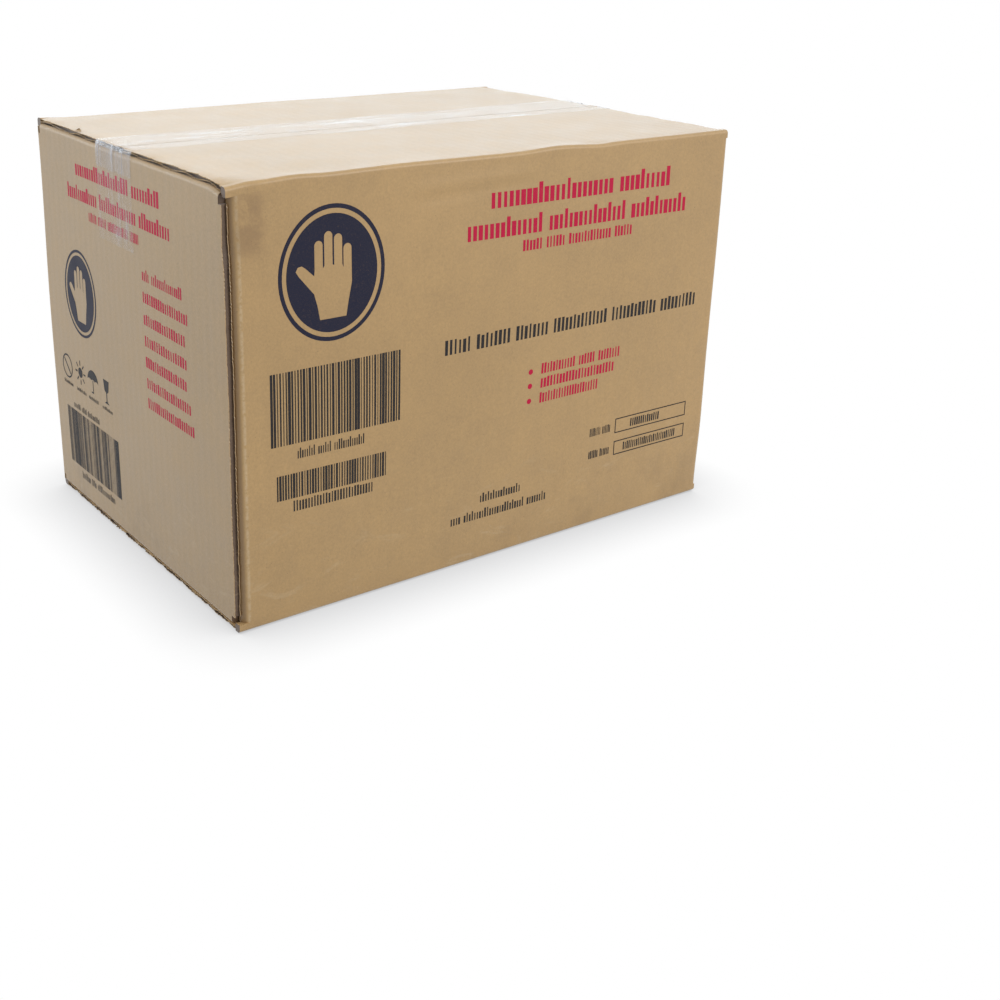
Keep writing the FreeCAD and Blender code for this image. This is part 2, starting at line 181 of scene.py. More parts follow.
# %% Torn edges
def rough_line(seed):
    """A frayed profile along an edge: small nibbles with an occasional larger bite."""
    small = wave_field(seed, 1.9 * MM, 7)
    large = wave_field(seed + 1, 9 * MM, 7)

    def profile(s):
        p = np.array([[s, 0.37 * s + 0.01, 0.21 * s]])
        return float(0.16 * MM * small(p)[0] + 0.30 * MM * max(0.0, large(p)[0] - 0.5))

    return profile


class Fray:
    """Tears and pinches a section's cut ends as it is carried along."""

    def __init__(self, a0, a1, raw, seed, pinch=0.5, tear=1.0):
        self.ends = [(a, sign) for a, sign, cut in ((a0, 1, raw[0]), (a1, -1, raw[1])) if cut]
        self.lines = [[rough_line(seed + 10 * i + j) for j in range(2)] for i in range(len(self.ends))]
        self.press = [wave_field(seed + 50 + i, 23 * MM, 6) for i in range(len(self.ends))]
        self.pinch = pinch * MM
        self.tear = tear

    def __call__(self, a, b, s):
        a, b = a.copy(), b.copy()
        for (end, sign), lines, press in zip(self.ends, self.lines, self.press):
            distance = (a - end) * sign
            near = np.clip(1 - distance / (7 * MM), 0, 1)
            lip = distance < 0.3 * MM
            outer = b > T / 2
            a = a + np.where(lip & outer, sign * self.tear * lines[0](s), 0)
            a = a + np.where(lip & ~outer, sign * self.tear * lines[1](s), 0)
            squeeze = self.pinch * (1.0 + 0.25 * float(press(np.array([[s, 0.0, 0.0]]))[0]))
            b = b + np.where(outer, -0.25 * squeeze, 0.75 * squeeze) * near**2
        return a, b


print("a torn edge's bites, mm:", [round(rough_line(1)(place * MM) / MM, 2) for place in (0, 5, 10, 15)])


# %% A board's section
def board_loop(a0, a1, raw=(False, False), step=3 * MM):
    """A board's closed section: a across, b from 0 at the inner liner to the outer liner."""
    lip = 0.42 * MM
    deep = 1.3 * MM
    count = max(2, round((a1 - a0) / step))
    across = np.linspace(a0, a1, count + 1)
    if raw[1]:
        across = np.insert(across, -1, a1 - 1.2 * MM)
    if raw[0]:
        across = np.insert(across, 1, a0 + 1.2 * MM)
    loop = [(a, T) for a in across]
    if raw[1]:
        loop += [(a1, T - lip), (a1 - deep, T - 1.3 * lip), (a1 - deep, 1.3 * lip), (a1, lip)]
    loop += [(a, 0) for a in across[::-1]]
    if raw[0]:
        loop += [(a0, lip), (a0 + deep, 1.3 * lip), (a0 + deep, T - 1.3 * lip), (a0, T - lip)]
    return np.array(loop, float)


def recess_edges(loop, raw_a):
    """True for the loop edges that are inside a cut end."""

    def inside(a, b):
        return min(abs(a - end) for end in raw_a) > 0.5 * MM and 0.2 * MM < b < T - 0.2 * MM

    return [inside(*p) or inside(*q) for p, q in zip(loop, np.roll(loop, -1, axis=0))]


both_cut = board_loop(0, 100 * MM, raw=(True, True))
recessed = sum(recess_edges(both_cut, (0, 100 * MM)))
print("a strip's section has", len(both_cut), "edges,", recessed, "of them recessed")

# %% Meshes from arrays
SHARP = math.radians(32)


def new_mesh(name, vertices, faces, materials=(), face_materials=None, facing=None):
    """A named object from plain arrays, with smooth shading between sharp edges.

    A closed shape's faces point outwards, and an open sheet's point the way that `facing` gives.
    """
    mesh = bpy.data.meshes.new(name)
    mesh.from_pydata([tuple(v) for v in vertices], [], [tuple(f) for f in faces])
    for m in materials:
        mesh.materials.append(m)
    if face_materials is not None:
        mesh.polygons.foreach_set("material_index", face_materials)
    work = bmesh.new()
    work.from_mesh(mesh)
    bmesh.ops.recalc_face_normals(work, faces=work.faces)
    if facing is not None:
        work.normal_update()
        wrong = [f for f in work.faces if f.normal.dot(Vector(facing)) < 0]
        bmesh.ops.reverse_faces(work, faces=wrong)
    work.to_mesh(mesh)
    work.free()
    mesh.polygons.foreach_set("use_smooth", [True] * len(mesh.polygons))
    mesh.set_sharp_from_angle(angle=SHARP)
    made = bpy.data.objects.new(name, mesh)
    bpy.context.scene.collection.objects.link(made)
    return made


def quads(rows, columns):
    """The faces of a grid of points that is stored row by row."""
    return [
        (i * columns + j, i * columns + j + 1, (i + 1) * columns + j + 1, (i + 1) * columns + j)
        for i in range(rows - 1)
        for j in range(columns - 1)
    ]


def hold(piece, body, *nodes, slot=None):
    """Gives a piece its body and hides the frame nodes it stands for. `slot` is not used."""
    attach(piece, body)
    if nodes:
        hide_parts(*nodes)
    return piece


print("a grid of 3 by 4 points has", len(quads(3, 4)), "faces")


# %% Carrying a section along
def sweep(name, loop, stations, place, materials, recess=None):
    """Carries a closed section along its stations. `recess` marks loop edges in the darker medium."""
    n = len(loop)
    rings = [np.asarray(place(loop[:, 0], loop[:, 1], s), float) for s in stations]
    vertices = settle(np.vstack(rings))
    faces = []
    slots = []
    for k in range(len(stations) - 1):
        for i in range(n):
            j = (i + 1) % n
            faces.append((k * n + i, k * n + j, (k + 1) * n + j, (k + 1) * n + i))
            slots.append(1 if recess is not None and recess[i] else 0)
    faces.append(tuple(range(n)))
    faces.append(tuple(range((len(stations) - 1) * n, len(stations) * n)))
    slots += [1, 1] if len(materials) > 1 else [0, 0]
    return new_mesh(name, vertices, faces, materials, slots)


print("a section is carried along its stations, settled, and closed at both ends")

# %% [markdown]
# ## Materials
#
# Kraft liner is brown paper with short fibres, cloudy formation, dark flecks, and the faint washboard of
# the flutes beneath it. Ink is thin and a little uneven, tape is a clear film with a hazy adhesive, and
# the dispensers are coated white board. A picture could be wrapped round each piece, but noise worked out
# from Object coordinates has no seams and no edge, and stays with its piece when it moves. The sums are
# written as Python expressions: a Value wraps a socket, and a Tree's `add` makes every node.


# %% Sockets as numbers
def linear(r, g, b):
    """A display colour, 0 to 255, as scene-linear red, green, blue and alpha."""
    values = [c / 255 for c in (r, g, b)]
    return tuple(c / 12.92 if c <= 0.04045 else ((c + 0.055) / 1.055) ** 2.4 for c in values) + (1.0,)


def toned(colour, share):
    """A scene-linear colour made lighter or darker."""
    return tuple(min(1.0, c * share) for c in colour[:3]) + (1.0,)


class Value:
    """A node's output that can be added, multiplied and compared like a number."""

    def __init__(self, tree, socket):
        self.tree, self.socket = tree, socket

    def beside(self, name):
        """Another output of the same node."""
        return Value(self.tree, self.socket.node.outputs[name])

    def math(self, operation, *terms, clamp=False):
        settings = {"operation": operation, "use_clamp": clamp}
        return self.tree.add("ShaderNodeMath", settings, dict(enumerate(terms)))

    def __add__(self, other):
        return self.math("ADD", self, other)

    def __radd__(self, other):
        return self.math("ADD", other, self)

    def __sub__(self, other):
        return self.math("SUBTRACT", self, other)

    def __rsub__(self, other):
        return self.math("SUBTRACT", other, self)

    def __mul__(self, other):
        return self.math("MULTIPLY", self, other)

    def __rmul__(self, other):
        return self.math("MULTIPLY", other, self)

    def __truediv__(self, other):
        return self.math("DIVIDE", self, other)

    def __mod__(self, other):
        return self.math("MODULO", self, other)

    def sine(self):
        return self.math("SINE", self)

    def clamp(self):
        return self.math("ADD", self, 0.0, clamp=True)

    def step(self, start, end):
        """0 below start, 1 above end, smooth between."""
        sockets = {"Value": self, "From Min": start, "From Max": end}
        return self.tree.add("ShaderNodeMapRange", {"interpolation_type": "SMOOTHSTEP"}, sockets)

    def band(self, low, high, soft):
        """1 between low and high, with soft edges."""
        return self.step(low - soft, low + soft) - self.step(high - soft, high + soft)


print("kraft brown in scene-linear colour:", [round(c, 3) for c in linear(186, 151, 100)])


# %% Writing a tree
class Tree:
    """A node tree being written."""

    def __init__(self, tree):
        self.tree = tree

    def add(self, kind, settings=None, sockets=None, out=0):
        """Makes a node: first its settings, then its sockets' values or links. Gives one of its outputs."""
        node = self.tree.nodes.new(kind)
        for name, value in (settings or {}).items():
            setattr(node, name, value)
        for name, value in (sockets or {}).items():
            self.feed(node, name, value)
        if isinstance(out, str):
            return Value(self, node.outputs[out])
        live = [socket for socket in node.outputs if socket.enabled]
        return Value(self, live[out]) if live else None

    def feed(self, node, name, value):
        """Gives a node's socket, by name or by number, a value or a link."""
        live = [socket for socket in node.inputs if socket.enabled]
        socket = live[name] if isinstance(name, int) else next(s for s in live if s.name == name)
        if isinstance(value, Value):
            self.tree.links.new(value.socket, socket)
        else:
            socket.default_value = value


class Shade(Tree):
    """A material being written on Object coordinates: its textures, colour mixes and output."""

    def __init__(self, name):
        self.material = bpy.data.materials.new(name)
        self.material.use_nodes = True
        super().__init__(self.material.node_tree)
        self.shader = self.tree.nodes["Principled BSDF"]
        self.place = self.add("ShaderNodeTexCoord", out="Object")
        self.x = self.add("ShaderNodeSeparateXYZ", sockets={"Vector": self.place})
        self.y, self.z = self.x.beside("Y"), self.x.beside("Z")

    def stretched(self, x, y, z):
        return self.add("ShaderNodeMapping", sockets={"Vector": self.place, "Scale": (x, y, z)})

    def noise(self, scale, detail=3.0, roughness=0.55, source=None, warp=0.0):
        sockets = {"Vector": source or self.place, "Scale": scale, "Detail": detail}
        sockets |= {"Roughness": roughness, "Distortion": warp}
        return self.add("ShaderNodeTexNoise", sockets=sockets)

    def cells(self, scale):
        sockets = {"Vector": self.place, "Scale": scale}
        return self.add("ShaderNodeTexVoronoi", sockets=sockets, out="Distance")

    def mix(self, share, a, b):
        """Between two colours, each a tuple or an earlier mix, by a share."""
        return self.add("ShaderNodeMix", {"data_type": "RGBA", "clamp_factor": True}, {0: share, 1: a, 2: b})

    def send(self, name, value):
        self.feed(self.shader, name, value)

    def relief(self, height, strength, distance):
        sockets = {"Strength": strength, "Distance": distance, "Height": height}
        self.send("Normal", self.add("ShaderNodeBump", sockets=sockets))


print("a material is written with:", [name for name in vars(Shade) if name[0] != "_"])


# %% Kraft board
def scuffs_and_low_shade(s, colour):
    """Pale rubbing low on the walls, where the case is slid and set down, and darker patches near the base
    that are painted shade and grime.
    """
    rubbed = s.noise(26, 5, 0.72, s.stretched(1, 1, 2.6), 1.5).step(0.56, 0.72) * s.z.step(95 * MM, 15 * MM)
    colour = s.mix(rubbed * 0.28, colour, linear(212, 188, 152))
    # painted shade and grime: darker patches towards the bottom
    grime_and_low_shade = s.noise(17, 4, 0.6).step(0.50, 0.68) * s.z.step(70 * MM, 5 * MM)
    return s.mix(grime_and_low_shade * 0.26, colour, linear(104, 78, 50))


def bend_highlight_shade_and_wear(s, colour):
    """The front panel's bend: a pale ridge of painted highlight and worn fibres, the turn beyond it and its
    dented top in painted shade.
    """
    outer = s.y.step(-W / 2 + 8 * MM, -W / 2 + 5 * MM)
    # painted highlight along the bend's ridge, partly worn fibres
    ridge = s.x.band(-170.4 * MM, -168.9 * MM, 0.6 * MM) * s.noise(300, 4, 0.7).step(0.34, 0.56) * outer
    colour = s.mix(ridge * 0.42, colour, linear(226, 203, 166))
    # painted shade where the bend turns away
    bent = s.x.step(-170.6 * MM, -172.2 * MM) * outer
    colour = s.mix(bent * 0.55, colour, linear(112, 82, 52))
    # painted shade over the dent of the crushed upper corner
    dent_shade = s.x.band(-171 * MM, -156 * MM, 4 * MM) * s.z.band(209 * MM, 240 * MM, 7 * MM)
    dent_shade = dent_shade * s.noise(75, 4, 0.65).step(0.36, 0.62) * outer
    return s.mix(dent_shade * 0.45, colour, linear(124, 92, 58))


def kraft(name, across, tone=(186, 151, 100), bend=False):
    """Brown liner. `across` is the axis the flutes are counted along, or None on a cut edge."""
    s = Shade(name)
    fibre = s.noise(2300, 3, 0.65, s.stretched(1, 1, 0.4))
    mottle = s.noise(640, 4, 0.7)
    cloud = s.noise(60, 4, 0.6)
    broad = s.noise(9, 3, 0.5)
    share = 0.54 + (fibre - 0.5) * 0.55 + (mottle - 0.5) * 0.75 + (cloud - 0.5) * 0.40 + (broad - 0.5) * 0.40
    colour = s.mix(share.clamp(), toned(linear(*tone), 0.70), toned(linear(*tone), 1.24))
    fleck = s.cells(420).step(0.13, 0.05) * s.noise(90, 2).step(0.50, 0.62)
    colour = s.mix(fleck * 0.5, colour, linear(92, 66, 44))
    shine = s.cells(760).step(0.16, 0.06) * s.noise(140, 2).step(0.5, 0.62)
    colour = s.mix(shine * 0.30, colour, linear(225, 200, 165))
    # pale rubbing, and painted shade with grime near the base
    colour = scuffs_and_low_shade(s, colour)
    # the front panel's bend takes its painted highlight and painted shade
    if bend:
        colour = bend_highlight_shade_and_wear(s, colour)
    s.send("Base Color", colour)
    s.send("Roughness", 0.46 + (cloud - 0.5) * 0.22)
    s.send("Specular IOR Level", 0.75)
    s.send("Sheen Weight", 0.40)
    s.send("Sheen Roughness", 0.35)
    height = fibre * 0.3 + mottle * 0.35 + cloud * 0.5
    if across:
        height = height + (getattr(s, across) * (2 * math.pi / PITCH)).sine() * 0.14
    s.relief(height, 0.5, 0.24 * MM)
    return s.material


KRAFT_FRONT = kraft("kraft_liner_front", "x", bend=True)
KRAFT_LONG = kraft("kraft_liner_long", "x")
KRAFT_SHORT = kraft("kraft_liner_short", "y", tone=(180, 149, 106))
MEDIUM = kraft("fluting_medium", None, tone=(96, 72, 50))
for board in (KRAFT_FRONT, KRAFT_LONG, KRAFT_SHORT, MEDIUM):
    print("board material", board.name, "has", len(board.node_tree.nodes), "nodes")


# %% Ink
def ink(name, tone, thin):
    """Flexographic ink: solid, with the board's texture showing through a little."""
    s = Shade(name)
    worn = s.noise(520, 4, 0.7).step(0.42, 0.30) * 0.5 + s.noise(2300, 3, 0.6).step(0.46, 0.36) * 0.5
    s.send("Base Color", s.mix(worn * thin, linear(*tone), linear(170, 135, 98)))
    s.send("Roughness", 0.55 + (s.noise(60, 2) - 0.5) * 0.2)
    s.send("Specular IOR Level", 0.28)
    return s.material


CRIMSON = ink("ink_crimson", (200, 6, 66), 0.22)
BLACK = ink("ink_black", (22, 22, 27), 0.20)
NAVY = ink("ink_navy", (15, 18, 44), 0.12)
print("inks:", [m.name for m in (CRIMSON, BLACK, NAVY)])


# %% Tape film
def film(name, haze, streak_axis):
    """Clear tape: mostly see-through, with hazy adhesive, long streaks and trapped air."""
    s = Shade(name)
    stretch = (9, 150, 60) if streak_axis == "x" else (60, 130, 10)
    streak = s.noise(1.0, 5, 0.62, s.stretched(*stretch), 1.2)
    patch = s.noise(70, 4, 0.65)
    cloud = haze + streak.step(0.48, 0.74) * 0.42 + patch.step(0.56, 0.72) * 0.18
    s.send("Base Color", linear(232, 232, 238))
    s.send("Roughness", 0.16 + (patch - 0.3) * 0.25)
    s.send("Specular IOR Level", 0.75)
    s.send("Alpha", cloud.clamp())
    s.send("Coat Weight", 0.6)
    s.send("Coat Roughness", 0.12)
    s.relief(streak + patch * 0.35, 0.55, 0.6 * MM)
    return s.material


FILM_TOP = film("tape_film_top", 0.16, "x")
FILM_END = film("tape_film_end", 0.08, "z")
FILM_EDGE = film("tape_film_short_end", 0.16, "z")
print("film:", [m.name for m in (FILM_TOP, FILM_END, FILM_EDGE)])

# %% Dispenser carton and gloves
# one dispenser carton and the gap beside it, and where the row starts
CARTON_PITCH = 68.5 * MM
ROW_START = -L / 2 + 8.4 * MM


def carton_board():
    """Coated white carton with a dark block, a crimson band and two grey rules, one set to a carton."""
    s = Shade("dispenser_board")
    grain = s.noise(900, 3)
    paper = s.mix((grain - 0.3) * 0.25, linear(240, 241, 243), linear(222, 224, 228))
    column = (s.x - ROW_START) % CARTON_PITCH
    dark = s.y.band(-96 * MM, -40 * MM, 0.2 * MM) * column.band(9 * MM, 59 * MM, 0.2 * MM)
    colour = s.mix(dark, paper, linear(30, 34, 66))
    red = s.y.band(-34 * MM, 92 * MM, 0.2 * MM) * column.band(41 * MM, 50 * MM, 0.2 * MM)
    colour = s.mix(red, colour, linear(196, 22, 78))
    both_rules = column.band(18 * MM, 21 * MM, 0.15 * MM) + column.band(26 * MM, 29 * MM, 0.15 * MM)
    rules = s.y.band(-34 * MM, 60 * MM, 0.2 * MM) * both_rules
    s.send("Base Color", s.mix(rules.clamp(), colour, linear(96, 100, 112)))
    s.send("Roughness", 0.38 + (grain - 0.5) * 0.1)
    s.relief(grain, 0.15, 0.1 * MM)
    return s.material


def nitrile():
    """Matt black glove rubber."""
    s = Shade("black_nitrile")
    patch = s.noise(160, 3)
    s.send("Base Color", s.mix(patch, linear(26, 27, 30), linear(48, 50, 54)))
    s.send("Roughness", 0.45 + (patch - 0.5) * 0.3)
    s.relief(s.noise(1500, 2), 0.3, 0.2 * MM)
    return s.material


CARTON = carton_board()
NITRILE = nitrile()
print("carton:", CARTON.name, "gloves:", NITRILE.name)

# %% [markdown]
# ## The four walls
#
# Each wall is a plan section carried up between the flaps. The front wall turns a rounded bend at its left
# end and carries on as the tab glued inside the left wall. The left wall stops just short of the front
# face with a cut edge, which is the dark, torn line down the near corner. The corners' arcs belong to the
# front and back walls, so the end walls are flat and meet them at a tangent. One closed ring for all four
# would be simpler, but it would have no joint, and each wall stands for its own panel.


# %% Plan sections
def arc(cx, cy, radius, start, end, count):
    angles = np.radians(np.linspace(start, end, count + 1))
    return [(cx + radius * math.cos(t), cy + radius * math.sin(t)) for t in angles]


def line(p, q, step=3 * MM):
    count = max(1, round(math.dist(p, q) / step))
    return [(p[0] + (q[0] - p[0]) * i / count, p[1] + (q[1] - p[1]) * i / count) for i in range(count)]


X1, Y1 = L / 2, W / 2
BEND = 5 * MM
JOINT_STEP = 2.5 * MM
TAB_END = -81.5 * MM
TAB_START = -Y1 + BEND + 0.1 * MM

front_loop = np.array(
    [(-X1 + T, TAB_START)]
    + arc(-X1 + T + BEND, -Y1 + BEND, BEND, 180, 270, 10)
    + line((-X1 + T + BEND + 0.4 * MM, -Y1), (X1 - T, -Y1))
    + arc(X1 - T, -Y1 + T, T, 270, 360, 9)
    + line((X1 - T, -Y1 + T), (-X1 + T + BEND, -Y1 + T))
    + arc(-X1 + T + BEND, -Y1 + BEND, BEND - T, 270, 180, 3)
    + [(-X1 + 2 * T, TAB_START)]
)
tab_loop = np.array(
    line((-X1 + T, TAB_END), (-X1 + T, TAB_START))
    + line((-X1 + T, TAB_START), (-X1 + 2 * T, TAB_START))
    + line((-X1 + 2 * T, TAB_START), (-X1 + 2 * T, TAB_END))
    + [(-X1 + 2 * T, TAB_END)]
)
back_loop = np.array(
    arc(-X1 + T, Y1 - T, T, 180, 90, 9)
    + line((-X1 + T + 1 * MM, Y1), (X1 - T, Y1))
    + arc(X1 - T, Y1 - T, T, 90, 0, 9)
    + line((X1 - T, Y1 - T), (-X1 + T, Y1 - T))
    + [(-X1 + T, Y1 - T)]
)
left_raw = (-Y1 + JOINT_STEP, Y1 - T)
left_loop = board_loop(*left_raw, raw=(True, False), step=4 * MM)
right_loop = board_loop(-Y1 + T, Y1 - T, step=4 * MM)
sections = (front_loop, tab_loop, back_loop, left_loop, right_loop)
print("points round each section:", [len(loop) for loop in sections])

# %% Walls
# the front and back walls run from crease to crease, and the end walls stand between the folded flaps
LONG_WALL = (5 * MM, 241 * MM)
END_WALL = (9 * MM, 237.1 * MM)
TAB_HEIGHT = (10 * MM, 235.4 * MM)
left_fray = Fray(*left_raw, (True, False), seed=40, pinch=0.35, tear=1.0)


def upright(a, b, s):
    return np.column_stack([a, b, np.full_like(a, s)])


def left_place(a, b, s):
    a, b = left_fray(a, b, s)
    return np.column_stack([-X1 + T - b, a, np.full_like(a, s)])


def right_place(a, b, s):
    return np.column_stack([X1 - T + b, a, np.full_like(a, s)])


def wall(name, node, loop, span, count, place, materials, recess=None):
    """A section carried up, which rides on the case and stands for one panel."""
    piece = sweep(name, loop, np.linspace(*span, count), place, materials, recess)
    return hold(piece, "case", node, slot="kraft_board")


walls = [
    wall("front_wall", "front_panel", front_loop, LONG_WALL, 80, upright, [KRAFT_FRONT]),
    wall("joint_tab", "glue_tab", tab_loop, TAB_HEIGHT, 40, upright, [KRAFT_SHORT]),
    wall("back_wall", "back_panel", back_loop, LONG_WALL, 80, upright, [KRAFT_LONG]),
    wall("left_wall", "left_panel", left_loop, END_WALL, 230, left_place, [KRAFT_SHORT, MEDIUM],
         recess_edges(left_loop, left_raw[:1])),
    wall("right_wall", "right_panel", right_loop, END_WALL, 70, right_place, [KRAFT_SHORT]),
]
print("walls:", {piece.name: len(piece.data.polygons) for piece in walls})

# %% [markdown]
# ## Flutes at the cut edges
#
# Across the flutes, a cut edge shows the wave of the medium between the two liners. It could be drawn as
# a dark pattern, but the light catches real waves. The wave is one Geometry Nodes tree: a long grid two
# points deep, lifted by a sine of its own length. A top flap's board ends 3 mm short of its cut edge, and
# the two liners and the wave carry on to it.


# %% Starting, ending and running a tree
def start_tree(name, sizes, paint):
    """A Geometry Nodes tree with named sizes and a material, and those inputs as Values."""
    group = bpy.data.node_groups.new(name, "GeometryNodeTree")
    for label, value in sizes.items():
        kind = "NodeSocketInt" if isinstance(value, int) else "NodeSocketFloat"
        group.interface.new_socket(label, in_out="INPUT", socket_type=kind).default_value = value
    group.interface.new_socket(paint, in_out="INPUT", socket_type="NodeSocketMaterial")
    group.interface.new_socket("Geometry", in_out="OUTPUT", socket_type="NodeSocketGeometry")
    tree = Tree(group)
    first = tree.add("NodeGroupInput")
    return tree, {label: first.beside(label) for label in (*sizes, paint)}


def end_tree(tree, geometry, paint):
    """Ends a tree with plain, painted geometry."""
    plain = tree.add("GeometryNodeRealizeInstances", sockets={"Geometry": geometry})
    painted = tree.add("GeometryNodeSetMaterial", sockets={"Geometry": plain, "Material": paint})
    tree.add("NodeGroupOutput", sockets={"Geometry": painted})
    return tree.tree


def run_tree(tree, values):
    """A node tree's result as plain arrays, vertices and faces."""
    carrier = bpy.data.objects.new("carrier", bpy.data.meshes.new("carrier"))
    bpy.context.scene.collection.objects.link(carrier)
    modifier = carrier.modifiers.new("tree", "NODES")
    modifier.node_group = tree
    for item in tree.interface.items_tree:
        if item.in_out == "INPUT" and item.name in values:
            modifier[item.identifier] = values[item.name]
    graph = bpy.context.evaluated_depsgraph_get()
    mesh = bpy.data.meshes.new_from_object(carrier.evaluated_get(graph))
    vertices = np.array([v.co[:] for v in mesh.vertices], float).reshape(-1, 3)
    faces = [tuple(p.vertices) for p in mesh.polygons]
    bpy.data.objects.remove(carrier)
    bpy.data.meshes.remove(mesh)
    return vertices, faces


print("a tree ends in Realize Instances and Set Material, and is read back as plain arrays")


# %% The flute tree
def flute_tree():
    sizes = {"Length": 0.35, "Depth": 3 * MM, "Count": 600, "Pitch": PITCH, "Height": 1.6 * MM}
    tree, given = start_tree("flute_wave", sizes, "Board")
    grid = tree.add("GeometryNodeMeshGrid", sockets={
        "Size X": given["Length"], "Size Y": given["Depth"], "Vertices X": given["Count"], "Vertices Y": 2,
    })
    along = tree.add("ShaderNodeSeparateXYZ", sockets={"Vector": tree.add("GeometryNodeInputPosition")})
    wave = (along / given["Pitch"] * (2 * math.pi)).sine() * given["Height"]
    lift = tree.add("ShaderNodeCombineXYZ", sockets={"Z": wave})
    bent = tree.add("GeometryNodeSetPosition", sockets={"Geometry": grid, "Offset": lift})
    return end_tree(tree, bent, given["Board"])


FLUTES = flute_tree()
print("flute tree inputs:", [i.name for i in FLUTES.interface.items_tree if i.in_out == "INPUT"])

# %% A cut edge
OPEN_END = 3 * MM
LINER = 0.38 * MM
WAVE_HEIGHT = 1.58 * MM


def cut_edge(name, body, half, depth, place, material):
    """The last 3 mm of a flap: both liners, and the medium's wave between them."""
    vertices, faces = [], []
    for low in (0.0, T - LINER):
        across = np.linspace(-half, half, round(2 * half / (3 * MM)) + 1)
        loop = np.array([(a, low) for a in across] + [(a, low + LINER) for a in across[::-1]])
        n = len(loop)
        base = sum(len(v) for v in vertices)
        for s in (depth - OPEN_END - 0.3 * MM, depth):
            vertices.append(place(loop[:, 0], loop[:, 1], s))
        faces += [(base + i, base + (i + 1) % n, base + n + (i + 1) % n, base + n + i) for i in range(n)]
        for first in (base, base + n):
            last = first + n - 1
            faces += [(first + i, first + i + 1, last - 1 - i, last - i) for i in range(n // 2 - 1)]
    wave_depth = OPEN_END - 0.2 * MM
    wave, wave_faces = run_tree(FLUTES, {
        "Length": 2 * half - 1 * MM, "Depth": wave_depth, "Count": round(2 * half / PITCH * 10),
        "Pitch": PITCH, "Height": WAVE_HEIGHT, "Board": material,
    })
    base = sum(len(v) for v in vertices)
    inward = wave[:, 1] - wave_depth / 2 - 0.1 * MM
    vertices.append(np.vstack([
        place(wave[i:i + 1, 0], wave[i:i + 1, 2] + T / 2, depth + inward[i]) for i in range(len(wave))
    ]))
    faces += [tuple(i + base for i in f) for f in wave_faces]
    return hold(new_mesh(name, settle(np.vstack(vertices)), faces, [material]), body, slot="kraft_board")


print("a cut edge shows a flute every", round(PITCH / MM, 1), "mm")

# %% [markdown]
# ## Flaps and creases
#
# A crease is crushed board: the outer liner goes round it smoothly and the inner liner folds sharply. A
# flap could simply turn about an edge, but then a gap would open beside the wall. So each top crease is its
# own piece that lies between the case and its flap. The base flaps never move, so each one carries its own
# crease.

# %% A flap
CREASE_START = 5 * MM
MAJOR_HALF = L / 2 - SETBACK
MINOR_HALF = W / 2 - T - 2 * MM
FLAP_DEPTH = W / 2 - 0.5 * MM


def build_flap(name, node, body, half, depth, place, materials, seed):
    """A flat flap from just past its crease to its cut edge, with frayed sides."""
    loop = board_loop(-half, half, raw=(True, True))
    fray = Fray(-half, half, (True, True), seed, pinch=2.0, tear=1.3)
    end = depth - (OPEN_END if "top" in name else 0)
    stations = np.linspace(CREASE_START, end, max(8, round((end - CREASE_START) / (0.8 * MM))))
    piece = sweep(name, loop, stations, lambda a, b, s: place(*fray(a, b, s), s), materials,
                  recess_edges(loop, (-half, half)))
    if "top" in name:
        cut_edge(name.replace("flap", "cut_edge"), body, half - 0.4 * MM, depth, place, materials[0])
    return hold(piece, body, node, slot="kraft_board")


print("flap depths, mm:", round(FLAP_DEPTH / MM, 1), "and", round(W / 2 / MM, 1))


# %% A crease
def crease_loop(start, wall_end):
    """A crease's section about its outer corner O: out along a (the flap), down along b (the wall)."""
    r = 2.3 * MM
    outer = [(0.0, -wall_end), (0.0, -(wall_end + r) / 2)]
    outer += [(r + r * math.cos(t), -r + r * math.sin(t)) for t in np.radians(np.linspace(180, 90, 19))]
    outer += [((start + r) / 2, 0.0), (start, 0.0)]
    inner = [(start, -T)]
    inner += [(T + d, -T) for d in np.linspace(min(0.8 * MM, start - T), 0, 7)][:-1]
    inner += [(T, -T - d) for d in np.linspace(0, min(0.8 * MM, wall_end - T), 7)]
    inner += [(T, -wall_end)]
    seen = []
    for p in outer + inner:
        if not seen or math.dist(p, seen[-1]) > 1e-6:
            seen.append(p)
    return np.array(seen)


# half the width of a band on a top crease's diagonal
BEND_BAND = 0.62 * MM


def crease(name, body, half, to_space, materials, bends=True):
    """The crease between the case and its flap. For a top crease a narrow band on the diagonal is worked out,
    and nothing uses it.
    """
    loop = crease_loop(CREASE_START, CREASE_START)
    stations = np.linspace(-half, half, round(2 * half / (3 * MM)) + 1)
    piece = sweep(name, loop, stations, to_space, materials)
    if bends:
        corner = to_space(np.array([0.0]), np.array([0.0]), 0.0)[0]
        inner = to_space(np.array([T]), np.array([-T]), 0.0)[0]
        flapward = to_space(np.array([1 * MM]), np.array([0.0]), 0.0)[0] - corner
        wallward = to_space(np.array([0.0]), np.array([-1 * MM]), 0.0)[0] - corner
        middle = (corner + inner) / 2
        way = (flapward - wallward) / np.linalg.norm(flapward - wallward)
        middle - way * BEND_BAND
        middle + way * BEND_BAND
        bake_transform(piece)
    else:
        hold(piece, body, slot="kraft_board")
    return piece


print("a crease's section has", len(crease_loop(CREASE_START, CREASE_START)), "points")


# %% Where flaps and creases lie
def major_space(sign, base=False):
    """Places (along, depth below the outer liner) of a front (-1) or back (+1) major flap."""

    def put_flap(a, b, s):
        z = (T - b) if base else (H - T + b)
        return np.column_stack([a, np.full_like(a, sign * (Y1 - s)), z])

    def put_crease(a, b, s):
        z = -b if base else H + b
        return np.column_stack([np.full_like(a, s), sign * (Y1 - a), z])

    return put_flap, put_crease


